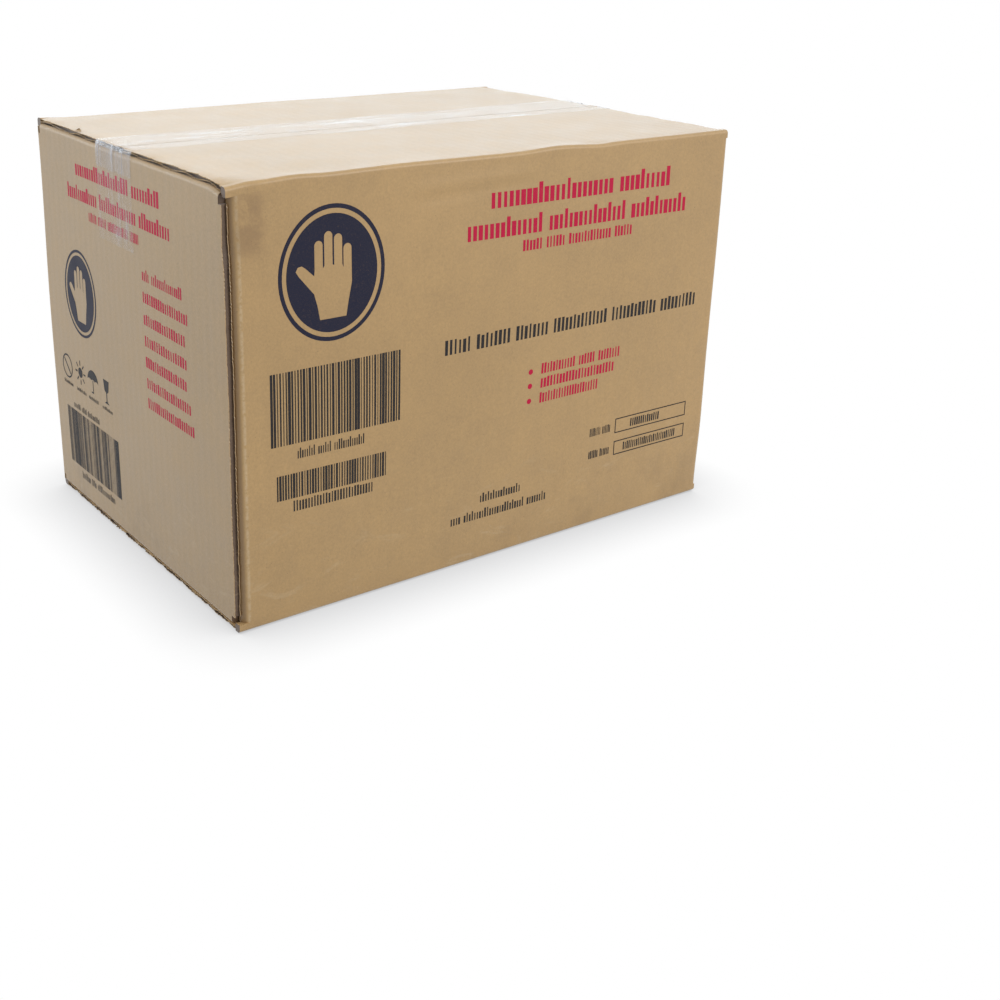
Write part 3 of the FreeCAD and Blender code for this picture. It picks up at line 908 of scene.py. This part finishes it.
def minor_space(sign, base=False):
    """The same for a left (-1) or right (+1) minor flap, which lies inside the majors."""
    top = H - T - LAP

    def put_flap(a, b, s):
        z = (2 * T - b) if base else (top - T + b)
        return np.column_stack([np.full_like(a, sign * (X1 - s)), a, z])

    def put_crease(a, b, s):
        lip = 0.9 * MM * (1 - ramp(a, 1.5 * MM, 6 * MM)) * ramp(b, -5 * MM, 0)
        z = (T - b) if base else (top + b + lip)
        return np.column_stack([sign * (X1 - a), np.full_like(a, s), z])

    return put_flap, put_crease


print("the minors' outer liner lies at z, mm:", round((H - T - LAP) / MM, 1))

# %% Folding the case
# the majors, then the minors: half length, depth, space, liner, and each one's side, sign and seed
FOLDS = (
    ("major", MAJOR_HALF, FLAP_DEPTH, major_space, KRAFT_LONG, (("front", -1, 110), ("back", 1, 140))),
    ("minor", MINOR_HALF, W / 2, minor_space, KRAFT_SHORT, (("left", -1, 170), ("right", 1, 190))),
)
made = []
for size, half, depth, space, liner, sides in FOLDS:
    board = [liner, MEDIUM]
    for side, sign, seed in sides:
        body = f"{side}_flap"
        put_flap, put_crease = space(sign)
        made.append(build_flap(f"{side}_top_flap", f"top_{size}_flap_{side}", body,
                               half, depth, put_flap, board, seed))
        made.append(crease(f"{side}_top_crease", body, half, put_crease, board))
        put_flap, put_crease = space(sign, base=True)
        made.append(build_flap(f"{side}_base_flap", f"bottom_{size}_flap_{side}", "case",
                               half, depth, put_flap, board, seed + 7))
        made.append(crease(f"{side}_base_crease", "case", half, put_crease, board, bends=False))
print("flaps and creases:", len(made), "faces:", sum(len(o.data.polygons) for o in made))

# %% [markdown]
# ### A torn curl
#
# Dragging the case has lifted a sliver of outer liner at the left end of the back flap. It stands up and
# rolls back on itself, thin as paper. A ribbon given by a formula, taller in its middle, is enough for
# something a few millimetres long, and it rides on the flap.


# %% Torn curl
def curl(name, y0, y1, body):
    """A sliver of liner that leaves the flap's end, stands up and rolls over."""
    long, round_it = 11, 12
    rows = []
    for y in np.linspace(y0, y1, long):
        t = (y - y0) / (y1 - y0)
        tall = (0.25 + 0.75 * math.sin(math.pi * min(1, t * 1.15)) ** 0.7) * 3.1 * MM
        for k in range(round_it):
            turn = math.radians(20 + 21 * k)
            x = -MAJOR_HALF + 0.5 * MM + (0.9 * MM * (1 - math.cos(turn)) - 0.5 * MM) * tall / (3 * MM)
            rows.append((x, y + 0.4 * MM * math.sin(turn), H - 0.3 * MM + tall * 0.6 * (turn / 4.4) ** 0.8))
    piece = new_mesh(name, settle(np.array(rows)), quads(long, round_it), [KRAFT_LONG])
    return hold(piece, body, slot="kraft_board")


torn = curl("torn_curl", 58 * MM, 66 * MM, "back_flap")
print("torn curl faces:", len(torn.data.polygons))

# %% [markdown]
# ## Clear tape
#
# Two layers of 48 mm tape run over the seam and down each end. The knife line on the seam parts them, so
# a half rides on each major flap and the ends stay on the end walls. A thin solid would show its film twice,
# so each piece is a single skin that follows the settled board, lifted where it bridges from the flaps' cut
# edge to the end wall.

# %% Skins of film
TAPE_NEAR, TAPE_FAR = -16 * MM, 32 * MM
KNIFE = 0.05 * MM
CRINKLE = wave_field(301, 13 * MM, 11)


def skin(name, rows, way, stretch, material, facing):
    """A settled sheet from rows of points, crinkled along one axis, that faces one way."""
    grid = np.asarray(rows, float)
    rows, columns = grid.shape[:2]
    flat = settle(grid.reshape(-1, 3))
    flat += np.asarray(way) * np.clip(CRINKLE(flat * np.array(stretch)), 0, 2)[:, None]
    return new_mesh(name, flat, quads(rows, columns), [material], facing=facing)


def top_tape(name, y0, y1, body, *nodes):
    """Half of the tape on top, from one end of the case to the other."""
    xs = np.linspace(-MAJOR_HALF + 0.2 * MM, MAJOR_HALF - 0.2 * MM, 150)
    rows = [[(x, y, H + 0.12 * MM) for x in xs] for y in np.linspace(y0, y1, 14)]
    piece = skin(name, rows, (0, 0, 0.10 * MM), (0.25, 1.0, 1.0), FILM_TOP, (0, 0, 1))
    return hold(piece, body, *nodes, slot="clear_tape")


top_tape("tape_front_half", TAPE_NEAR, -KNIFE, "front_flap", "tape_under_front", "tape_over_front")
top_tape("tape_back_half", KNIFE, TAPE_FAR, "back_flap", "tape_under_back", "tape_over_back")
print("tape is", round((TAPE_FAR - TAPE_NEAR) / MM), "mm wide")


# %% Tape ends
def end_tape(name, sign, reach, lift, material, node, seed):
    """A tape end: over the flaps' cut edge, round the minor flap's crease and down the end wall."""
    wall_start = H - 6.6 * MM
    bridge = [(X1 - SETBACK + 0.15 * MM, H + 0.02 * MM), (X1 - 0.35 * MM, H - 2.4 * MM), (X1, wall_start)]
    fine = []
    for p, q in zip(bridge, bridge[1:]):
        fine += [(p[0] + (q[0] - p[0]) * t, p[1] + (q[1] - p[1]) * t) for t in np.linspace(0, 1, 5)[:-1]]
    fine += [(X1, z) for z in np.linspace(wall_start, H - reach, max(4, round(reach / (2.5 * MM))))]
    ys = np.linspace(TAPE_NEAR, TAPE_FAR, 26)
    rows = [[(sign * (x + lift), y, z) for y in ys] for x, z in fine]
    # the dispenser's teeth have left the last row ragged
    cut = rough_line(seed)
    rows[-1] = [(x, y, z + 0.5 * cut(y)) for x, y, z in rows[-1]]
    piece = skin(name, rows, (sign * 0.09 * MM, 0, 0), (1.0, 1.0, 0.35), material, (sign, 0, 0.2))
    return hold(piece, "case", node, slot="clear_tape")


for side, sign in (("left", -1), ("right", 1)):
    end_tape(f"tape_{side}_short_end", sign, 15 * MM, 0.16 * MM, FILM_EDGE, f"tape_under_end_{side}", 310)
    end_tape(f"tape_{side}_long_end", sign, 57 * MM, 0.26 * MM, FILM_END, f"tape_over_end_{side}", 320)
shown = [o.name for o in bpy.data.objects if o.name.startswith("tape_") and not o.hide_render]
print("tape pieces:", sorted(shown))

# %% [markdown]
# ## Print
#
# The case is flexo-printed in crimson, black and navy. No words or names are drawn: each line of print is a
# row of plain upright strokes with a text line's rhythm, the bar fields encode nothing, and the emblem is a
# plain oval badge with an open hand. The rows and bar fields come from one Geometry Nodes tree with fixed
# seeds, because they are the same thing: a run of upright marks of uneven width and height. Print could be
# a colour in the liner's material, but marks with their own edges stay sharp from close by. Every mark is
# laid on the settled board, a hair above the liner.


# %% A Geometry Nodes tree for a run of marks
def mark_tree():
    sizes = {
        "Count": 10, "Pitch": 2 * MM, "Thin": 0.4, "Thick": 0.9, "Low": 5 * MM, "High": 7 * MM,
        "Tall": 0.3, "Seed": 1, "Rows": 2,
    }
    tree, given = start_tree("run_of_marks", sizes, "Ink")
    chance = {"Probability": given["Tall"], "Seed": given["Seed"] + 17}
    tall = tree.add("FunctionNodeRandomValue", {"data_type": "BOOLEAN"}, chance)
    spread = {"Min": given["Thin"], "Max": given["Thick"], "Seed": given["Seed"]}
    width = tree.add("FunctionNodeRandomValue", {"data_type": "FLOAT"}, spread) * given["Pitch"]
    run = tree.add("GeometryNodeMeshLine", sockets={
        "Count": given["Count"],
        "Start Location": tree.add("ShaderNodeCombineXYZ", sockets={"X": given["Pitch"] * 0.5}),
        "Offset": tree.add("ShaderNodeCombineXYZ", sockets={"X": given["Pitch"]}),
    })
    mark = tree.add("GeometryNodeMeshGrid", sockets={
        "Size X": 1.0, "Size Y": 1.0, "Vertices X": 2, "Vertices Y": given["Rows"],
    })
    standing = {"Geometry": mark, "Translation": (0.0, 0.5, 0.0)}
    height = {"Switch": tall, "False": given["Low"], "True": given["High"]}
    size = tree.add("ShaderNodeCombineXYZ", sockets={
        "X": width, "Y": tree.add("GeometryNodeSwitch", {"input_type": "FLOAT"}, height), "Z": 1.0,
    })
    stamped = {"Points": run, "Instance": tree.add("GeometryNodeTransform", sockets=standing), "Scale": size}
    return end_tree(tree, tree.add("GeometryNodeInstanceOnPoints", sockets=stamped), given["Ink"])


MARKS = mark_tree()
print("mark tree inputs:", [i.name for i in MARKS.interface.items_tree if i.in_out == "INPUT"])

# %% Where print lies
# a flexible plate stretches round its cylinder, and this one's layout prints a little short
PLATE = 0.993
# ink stands this far off the liner
INK_LIFT = 0.06 * MM
OUTWARD = {"front": np.array([0, -1.0, 0]), "left": np.array([-1.0, 0, 0])}


def on_panel(panel, u, z):
    """A place on the front panel, u from its left edge, or on the left panel, u from its back edge."""
    if panel == "front":
        return np.column_stack([PLATE * u - X1, np.full_like(u, -Y1), z])
    return np.column_stack([np.full_like(u, -X1), Y1 - u, z])


print("the front plate prints short by", round((1 - PLATE) * L / MM, 1), "mm in the case's length")


# %% Filled outlines
def filled(outlines, fine):
    """Even-odd fill of closed outlines, as vertices and faces cut every `fine` units."""
    curve = bpy.data.curves.new("outline", "CURVE")
    curve.dimensions, curve.fill_mode = "2D", "BOTH"
    for outline in outlines:
        spline = curve.splines.new("POLY")
        spline.points.add(len(outline) - 1)
        for point, (u, z) in zip(spline.points, outline):
            point.co = (u, z, 0, 1)
        spline.use_cyclic_u = True
    carrier = bpy.data.objects.new("outline", curve)
    bpy.context.scene.collection.objects.link(carrier)
    graph = bpy.context.evaluated_depsgraph_get()
    mesh = bpy.data.meshes.new_from_object(carrier.evaluated_get(graph))
    bpy.data.objects.remove(carrier)
    work = bmesh.new()
    work.from_mesh(mesh)
    low = [min(v.co[i] for v in work.verts) for i in (0, 1)]
    high = [max(v.co[i] for v in work.verts) for i in (0, 1)]
    for axis in (0, 1):
        for at in np.arange(low[axis] + fine, high[axis], fine):
            normal = (1, 0, 0) if axis == 0 else (0, 1, 0)
            place = (at, 0, 0) if axis == 0 else (0, at, 0)
            bmesh.ops.bisect_plane(
                work, geom=work.verts[:] + work.edges[:] + work.faces[:], plane_co=place, plane_no=normal
            )
    bmesh.ops.remove_doubles(work, verts=work.verts, dist=1e-4)
    work.verts.index_update()
    vertices = np.array([v.co[:2] for v in work.verts], float)
    faces = [tuple(v.index for v in f.verts) for f in work.faces]
    work.free()
    bpy.data.meshes.remove(mesh)
    return vertices, faces


def ring(cx, cy, rx, ry, count=72):
    return [
        (cx + rx * math.cos(t), cy + ry * math.sin(t))
        for t in np.linspace(0, 2 * math.pi, count, endpoint=False)
    ]


def box(u0, u1, z0, z1):
    return [(u0, z0), (u1, z0), (u1, z1), (u0, z1)]


print("a 10 by 10 square is cut into", len(filled([box(0, 10, 0, 10)], 4.0)[1]), "faces")


# %% A print run
class Print:
    """Collects one colour's marks on one panel, in millimetres, and lays them down as one piece."""

    def __init__(self, name, panel, material):
        self.name, self.panel, self.material = name, panel, material
        self.vertices, self.faces = [], []

    def add(self, points, faces):
        base = sum(len(v) for v in self.vertices)
        self.vertices.append(np.asarray(points, float))
        self.faces += [tuple(i + base for i in f) for f in faces]

    def marks(self, u, z, **values):
        """A run of the tree's marks that starts at u and stands on z."""
        vertices, faces = run_tree(MARKS, values)
        self.add(vertices[:, :2] + np.array([u, z]) * MM, faces)

    def line(self, u0, u1, z0, z1, words, seed, tall=0.35, weight=(0.36, 0.72)):
        """A line of greeked words between u0 and u1, standing on z0 with capitals to z1.

        Every letter's place holds two upright strokes of uneven width, so a line has a text line's rhythm
        and weight and spells nothing.
        """
        gap = 0.55
        pitch = (u1 - u0) / (sum(words) + gap * (len(words) - 1))
        high = z1 - z0
        low = high * (0.9 if tall == 1.0 else 0.74)
        at = u0
        for k, count in enumerate(words):
            self.marks(at, z0, Count=2 * count, Pitch=pitch / 2 * MM, Thin=weight[0], Thick=weight[1], Rows=2,
                       Low=low * MM, High=high * MM, Tall=tall * 0.6, Seed=seed + 31 * k)
            at += (count + gap) * pitch

    def bars(self, u0, u1, z0, z1, count, seed):
        """A field of bars of uneven width, all of one height, that encodes nothing."""
        high = z1 - z0
        pitch = (u1 - u0) / count
        self.marks(u0, z0, Count=count, Pitch=pitch * MM, Thin=0.22, Thick=0.98, Rows=max(2, round(high / 5)),
                   Low=high * MM, High=high * MM, Tall=0.0, Seed=seed)

    def shape(self, outlines, fine=4.0):
        """Filled outlines, even-odd, cut on a grid so that they can follow the board."""
        vertices, faces = filled(outlines, fine)
        self.add(vertices * MM, faces)

    def lay(self):
        """Settles the marks on the panel and makes them one piece."""
        flat = np.vstack(self.vertices)
        outward = OUTWARD[self.panel]
        points = settle(on_panel(self.panel, flat[:, 0], flat[:, 1])) + outward * INK_LIFT
        piece = new_mesh(self.name, points, self.faces, [self.material], facing=outward)
        print(self.name, "has", len(self.faces), "faces")
        return hold(piece, "case", slot="kraft_board")

# %% [markdown]
# ### The emblem
#
# A plain upright oval badge in navy with a keyline, holding an open hand. The hand is one outline: four
# rounded fingers drawn one by one as half circles, and a thumb, on a palm that narrows to a cuff. Outlines
# that lie inside each other cut holes, so the badge is four outlines filled at once.


# %% Emblem
def finger(cx, base, tip, half):
    """Up one side of a finger, round its tip and down the other side."""
    top = tip - half
    cap = [(cx - half * math.cos(t), top + half * math.sin(t)) for t in np.linspace(0, math.pi, 9)]
    return [(cx - half, base)] + cap + [(cx + half, base)]


def hand(cx, cz, size):
    """An open hand's outline, about 1 unit tall before scaling."""
    outline = [(-0.17, -0.50), (-0.20, -0.34), (-0.24, -0.20)]
    outline += [(-0.43, 0.02), (-0.465, 0.075), (-0.44, 0.12), (-0.39, 0.13), (-0.345, 0.10)]
    outline += [(-0.235, 0.0)]
    fingers = ((-0.175, 0.07, 0.38), (-0.05, 0.10, 0.47), (0.075, 0.09, 0.43), (0.195, 0.05, 0.31))
    for at, base, tip in fingers:
        outline += finger(at, base, tip, 0.053)
    outline += [(0.25, -0.12), (0.20, -0.34), (0.17, -0.50)]
    return [(cx + u * size, cz + z * size) for u, z in outline]


def emblem(cx, cz, width, height):
    """The oval badge: an outer line, a gap, and a solid field with the hand left open."""
    rx, ry = width / 2, height / 2
    line_w = width * 0.035
    outlines = [ring(cx, cz, rx, ry), ring(cx, cz, rx - line_w, ry - line_w)]
    inset = line_w * 2.1
    outlines += [ring(cx, cz, rx - inset, ry - inset), hand(cx, cz, height * 0.66)]
    return outlines


print("the hand's outline has", len(hand(0, 0, 1)), "points")


# %% Handling pictograms
def umbrella(cx, cz, r):
    """A canopy with a scalloped hem and a hooked stick."""
    dome = [(cx + r * math.cos(t), cz + r * 0.9 * math.sin(t)) for t in np.linspace(0, math.pi, 17)]
    hem = []
    for k in range(3):
        mid = cx - r + r * (2 * k + 1) / 3
        turns = np.linspace(0, math.pi, 7)[1:-1]
        hem += [(mid - r / 3 * math.cos(t), cz + r * 0.16 * math.sin(t)) for t in turns]
    stick = box(cx - r * 0.06, cx + r * 0.06, cz - r * 0.95, cz + r * 0.10)
    hook = box(cx - r * 0.34, cx - r * 0.06, cz - r * 0.95, cz - r * 0.83)
    return [[dome + hem], [stick], [hook]]


def sun(cx, cz, r):
    """A disc with eight short rays."""
    parts = [[ring(cx, cz, r * 0.42, r * 0.42, 24)]]
    for k in range(8):
        t = k * math.pi / 4
        c, s = math.cos(t), math.sin(t)
        w = r * 0.07
        ray = [(r * 0.58, -w), (r, -w), (r, w), (r * 0.58, w)]
        parts.append([[(cx + c * a - s * b, cz + s * a + c * b) for a, b in ray]])
    return parts


def glass(cx, cz, r):
    """A stemmed glass: keep upright and handle with care."""
    bowl = [(cx - r * 0.55, cz + r), (cx - r * 0.38, cz + r * 0.1), (cx - r * 0.08, cz - r * 0.12),
            (cx - r * 0.08, cz - r * 0.8), (cx - r * 0.45, cz - r), (cx + r * 0.45, cz - r),
            (cx + r * 0.08, cz - r * 0.8), (cx + r * 0.08, cz - r * 0.12), (cx + r * 0.38, cz + r * 0.1),
            (cx + r * 0.55, cz + r)]
    return [[bowl]]


def no_reuse(cx, cz, r):
    """A ring with a slanting bar."""
    bar = [(-r * 0.8, -r * 0.08), (r * 0.8, -r * 0.08), (r * 0.8, r * 0.08), (-r * 0.8, r * 0.08)]
    c, s = math.cos(-0.8), math.sin(-0.8)
    slant = [(cx + c * a - s * b, cz + s * a + c * b) for a, b in bar]
    return [[ring(cx, cz, r, r, 40), ring(cx, cz, r * 0.86, r * 0.86, 40)], [slant]]


print("sun parts:", len(sun(0, 0, 1)), "umbrella parts:", len(umbrella(0, 0, 1)))

# %% [markdown]
# ### Laying the print out
#
# The front panel carries the badge, two bar fields, a crimson title of three lines, a long black line,
# three bulleted lines, two boxed fields and two count lines. The left panel repeats the title and the
# badge smaller, with a crimson list, four handling signs and one bar field.

# %% Print on the front panel
# strokes of the two large title lines are heavier, and a third are tall
TITLE = {"tall": 0.40, "weight": (0.48, 0.84)}

title = Print("print_front_crimson", "front", CRIMSON)
title.line(166, 308, 216, 228, [11, 5], 1, **TITLE)
title.line(150, 323, 199, 210.5, [7, 8, 6], 2, **TITLE)
title.line(190, 278, 189, 195.5, [3, 3, 7, 3], 3, tall=1.0)
for z0, u1, words in ((111.5, 275, [6, 3, 4]), (102.5, 271, [12]), (93, 258, [11])):
    title.shape([ring(201.5, z0 + 2.6, 1.7, 1.7, 20)])
    title.line(209.5, u1, z0, z0 + 6.6, words, int(z0), tall=1.0)
title.lay()

facts = Print("print_front_black", "front", BLACK)
facts.line(136, 339, 135.8, 144.6, [3, 4, 4, 7, 6, 5], 7, tall=1.0)
for z0, z1 in ((59, 69), (44, 53.6)):
    facts.shape([box(276, 339, z0, z1), box(276.7, 338.3, z0 + 0.7, z1 - 0.7)])
facts.line(289, 315, 61.2, 66.6, [7], 11, tall=1.0)
facts.line(284, 331, 46, 51.4, [14], 12, tall=1.0)
facts.line(254, 272, 61, 66.4, [4, 3], 13, tall=1.0)
facts.line(254, 272, 46, 51.2, [3, 3], 14, tall=1.0)
facts.line(166, 198, 38, 44, [8], 15, tall=0.5)
facts.line(144, 219, 27.4, 33.6, [2, 12, 4], 16, tall=0.4)
facts.bars(23, 106, 104, 145, 46, 21)
facts.line(39, 82, 95, 101, [4, 3, 7], 17, tall=0.7)
facts.bars(26, 97, 72.5, 87, 42, 22)
facts.line(36, 88, 64.6, 71, [14], 18, tall=1.0)
facts.lay()

badge = Print("print_front_badge", "front", NAVY)
badge.shape(emblem(62.5, 194, 66, 73))
badge.lay()

# %% Print on the left panel
title = Print("print_left_crimson", "left", CRIMSON)
title.line(58, 173, 220, 229, [11, 5], 41, **TITLE)
title.line(44, 185, 205, 214, [7, 8, 6], 42, **TITLE)
title.line(75, 146, 195, 200.6, [3, 3, 7, 3], 43, tall=1.0)
title.line(148, 197, 176, 182.6, [2, 8], 44, tall=0.5)
# the list: each line's foot, right end and letters
LIST = ((163.4, 203, 10), (150.6, 199, 9), (138, 200, 9), (125.6, 199, 9), (113, 203, 10), (101, 206, 11))
for k, (z0, u1, count) in enumerate(LIST):
    title.line(147.5, u1, z0, z0 + 6.2, [count], 50 + k, tall=1.0)
title.lay()

facts = Print("print_left_black", "left", BLACK)
for outlines in no_reuse(26, 92, 8) + sun(47, 93, 8) + glass(87, 92, 7.6) + umbrella(66.5, 92.5, 8.2):
    facts.shape(outlines, 6.0)
for at, count in ((26, 9), (47, 8), (66, 7), (87, 8)):
    facts.line(at - 7.5, at + 7.5, 79.6, 82, [count], 60 + at, tall=0.6)
facts.bars(20, 100, 25, 64, 44, 71)
facts.line(32, 73, 66, 70, [4, 3, 7], 72, tall=0.7)
facts.line(37, 89, 17.6, 22.4, [4, 2, 8], 73, tall=0.6)
facts.lay()

badge = Print("print_left_badge", "left", NAVY)
badge.shape(emblem(55.5, 146, 48, 55))
badge.lay()

# %% [markdown]
# ## What is inside
#
# The dispensers, their tear-outs and the glove stacks are seen only past an open flap. A closer model of
# them would hardly show, so they keep their frame geometry and only take materials: plain coated carton
# with bands and rules, and black nitrile.

# %% Materials for the frame's own nodes
SURFACES = {"dispenser": CARTON, "tear_out": CARTON, "glove_stack": NITRILE, "tape": FILM_TOP}
for name, node in frame["nodes"].items():
    surface = next((m for start, m in SURFACES.items() if name.startswith(start)), KRAFT_SHORT)
    node.data.materials.clear()
    node.data.materials.append(surface)
print("frame nodes shown:", sum(not n.hide_render for n in frame["nodes"].values()))

# %% [markdown]
# ## Floor, light and camera
#
# A white floor and world under broad soft light. A large cool panel behind the case whitens the top and the
# tape with its grazing reflection, a broad one in front lights the printed panel, and three small ones fill
# the top and the left end. White walls lit by lamps would need far more light on the case, so the camera
# and the reflections are simply shown white.


# %% World
def shows_background(tree):
    """1 for the rays that show the background: the camera's, and reflected and transmitted ones."""
    share = tree.add("ShaderNodeLightPath", out="Is Camera Ray")
    for other in (share.beside("Is Glossy Ray"), share.beside("Is Transmission Ray")):
        share = share.math("MAXIMUM", share, other)
    return share


def either(tree, share, first, second):
    """A mix of two shaders."""
    return tree.add("ShaderNodeMixShader", sockets={0: share, 1: first, 2: second})


WHITE = (1.0, 1.0, 1.0, 1.0)
world = bpy.data.worlds.new("studio")
bpy.context.scene.world = world
world.use_nodes = True
sky = Tree(world.node_tree)
even = sky.tree.nodes["Background"]
sky.feed(even, "Color", (0.97, 0.985, 1.0, 1.0))
sky.feed(even, "Strength", 0.42)
shown = sky.add("ShaderNodeBackground", sockets={"Color": WHITE})
both = either(sky, shows_background(sky), Value(sky, even.outputs[0]), shown)
sky.feed(sky.tree.nodes["World Output"], "Surface", both)
print("world lights at strength", even.inputs["Strength"].default_value)


# %% Floor
def floor_material():
    """A pale matt floor that the camera sees as white, darker only in the shadow close to the case."""
    s = Shade("studio_floor")
    s.send("Base Color", (0.78, 0.78, 0.78, 1.0))
    s.send("Roughness", 0.9)
    near = s.add("ShaderNodeAmbientOcclusion", sockets={"Distance": 50 * MM}, out="AO")
    white = s.add("ShaderNodeEmission", sockets={"Color": s.mix(near, (0.45, 0.45, 0.46, 1.0), WHITE)})
    shown = either(s, shows_background(s), Value(s, s.shader.outputs[0]), white)
    # seen from underneath it isn't there, so that the base can be looked at
    below = s.add("ShaderNodeNewGeometry", out="Backfacing")
    clear = s.add("ShaderNodeBsdfTransparent")
    s.feed(s.tree.nodes["Material Output"], "Surface", either(s, below, shown, clear))
    return s.material


FLOOR_Z = -0.6 * MM
bpy.ops.mesh.primitive_plane_add(size=12, location=(0, 0, FLOOR_Z))
floor = bpy.context.object
floor.name = "floor"
floor.data.materials.append(floor_material())
# the even light from below the horizon reaches the base as well as the walls
floor.visible_diffuse = False
floor.visible_shadow = False
print("floor lies at z, mm:", FLOOR_Z / MM)

# %% Lamps
# each panel's name, place, what it points at, width, depth, watts and colour
LAMPS = (
    ("back_glow", (1.15, 1.75, 0.95), (0, 0, 0.24), 2.4, 1.0, 13, (0.80, 0.92, 1.0)),
    ("overhead", (0.1, 0.2, 1.7), (0, 0, 0.2), 1.5, 1.5, 3, (0.93, 0.97, 1.0)),
    ("left_top", (-0.62, 0.1, 0.92), (-0.16, 0, 0.2), 0.5, 0.5, 2.4, (0.85, 0.93, 1.0)),
    ("left_back", (-1.3, 1.5, 0.55), (-0.17, 0, 0.2), 1.2, 0.6, 7.5, (0.80, 0.91, 1.0)),
    ("front_fill", (0.9, -1.9, 1.25), (0, 0, 0.12), 1.6, 1.2, 26, (1.0, 0.985, 0.96)),
)
for name, place, aim, width, depth, watts, colour in LAMPS:
    light = bpy.data.lights.new(name, "AREA")
    light.shape, light.size, light.size_y = "RECTANGLE", width, depth
    light.energy, light.color = watts, colour
    lamp = bpy.data.objects.new(name, light)
    bpy.context.scene.collection.objects.link(lamp)
    lamp.visible_camera = False
    lamp.location = place
    lamp.rotation_euler = (Vector(aim) - Vector(place)).to_track_quat("-Z", "Y").to_euler()
print("lamps, watts:", {lamp[0]: lamp[5] for lamp in LAMPS})

# %% Camera
LENS = 48.61
AZIMUTH, ELEVATION, ROLL = math.radians(-36.031), math.radians(19.944), math.radians(1.087)
# where the camera stands, in lengths of the case
STAND = (-1.3486, -1.9773, 1.0470)
# the case stands up and to the left of the lens's axis
RISE, SIDE = -0.10, 0.08


def camera_matrix():
    """The camera's place and turn, from its azimuth, elevation and roll."""
    sa, ca, se, ce = math.sin(AZIMUTH), math.cos(AZIMUTH), math.sin(ELEVATION), math.cos(ELEVATION)
    back = Vector((sa * ce, -ca * ce, se))
    right = Vector((ca, sa, 0.0))
    up = back.cross(right)
    tilted = right * math.cos(ROLL) + up * math.sin(ROLL)
    up = back.cross(tilted)
    turn = Matrix((tilted, up, back)).transposed().to_4x4()
    turn.translation = Vector(STAND) * L
    return turn


camera = bpy.data.objects.new("camera", bpy.data.cameras.new("camera"))
bpy.context.scene.collection.objects.link(camera)
bpy.context.scene.camera = camera
camera.data.clip_start, camera.data.clip_end = 0.02, 30
camera.data.lens = LENS
camera.data.shift_x, camera.data.shift_y = SIDE, RISE
camera.matrix_world = camera_matrix()
bpy.context.scene.view_settings.view_transform = "Standard"
print("camera at", [round(c, 3) for c in camera_matrix().translation])
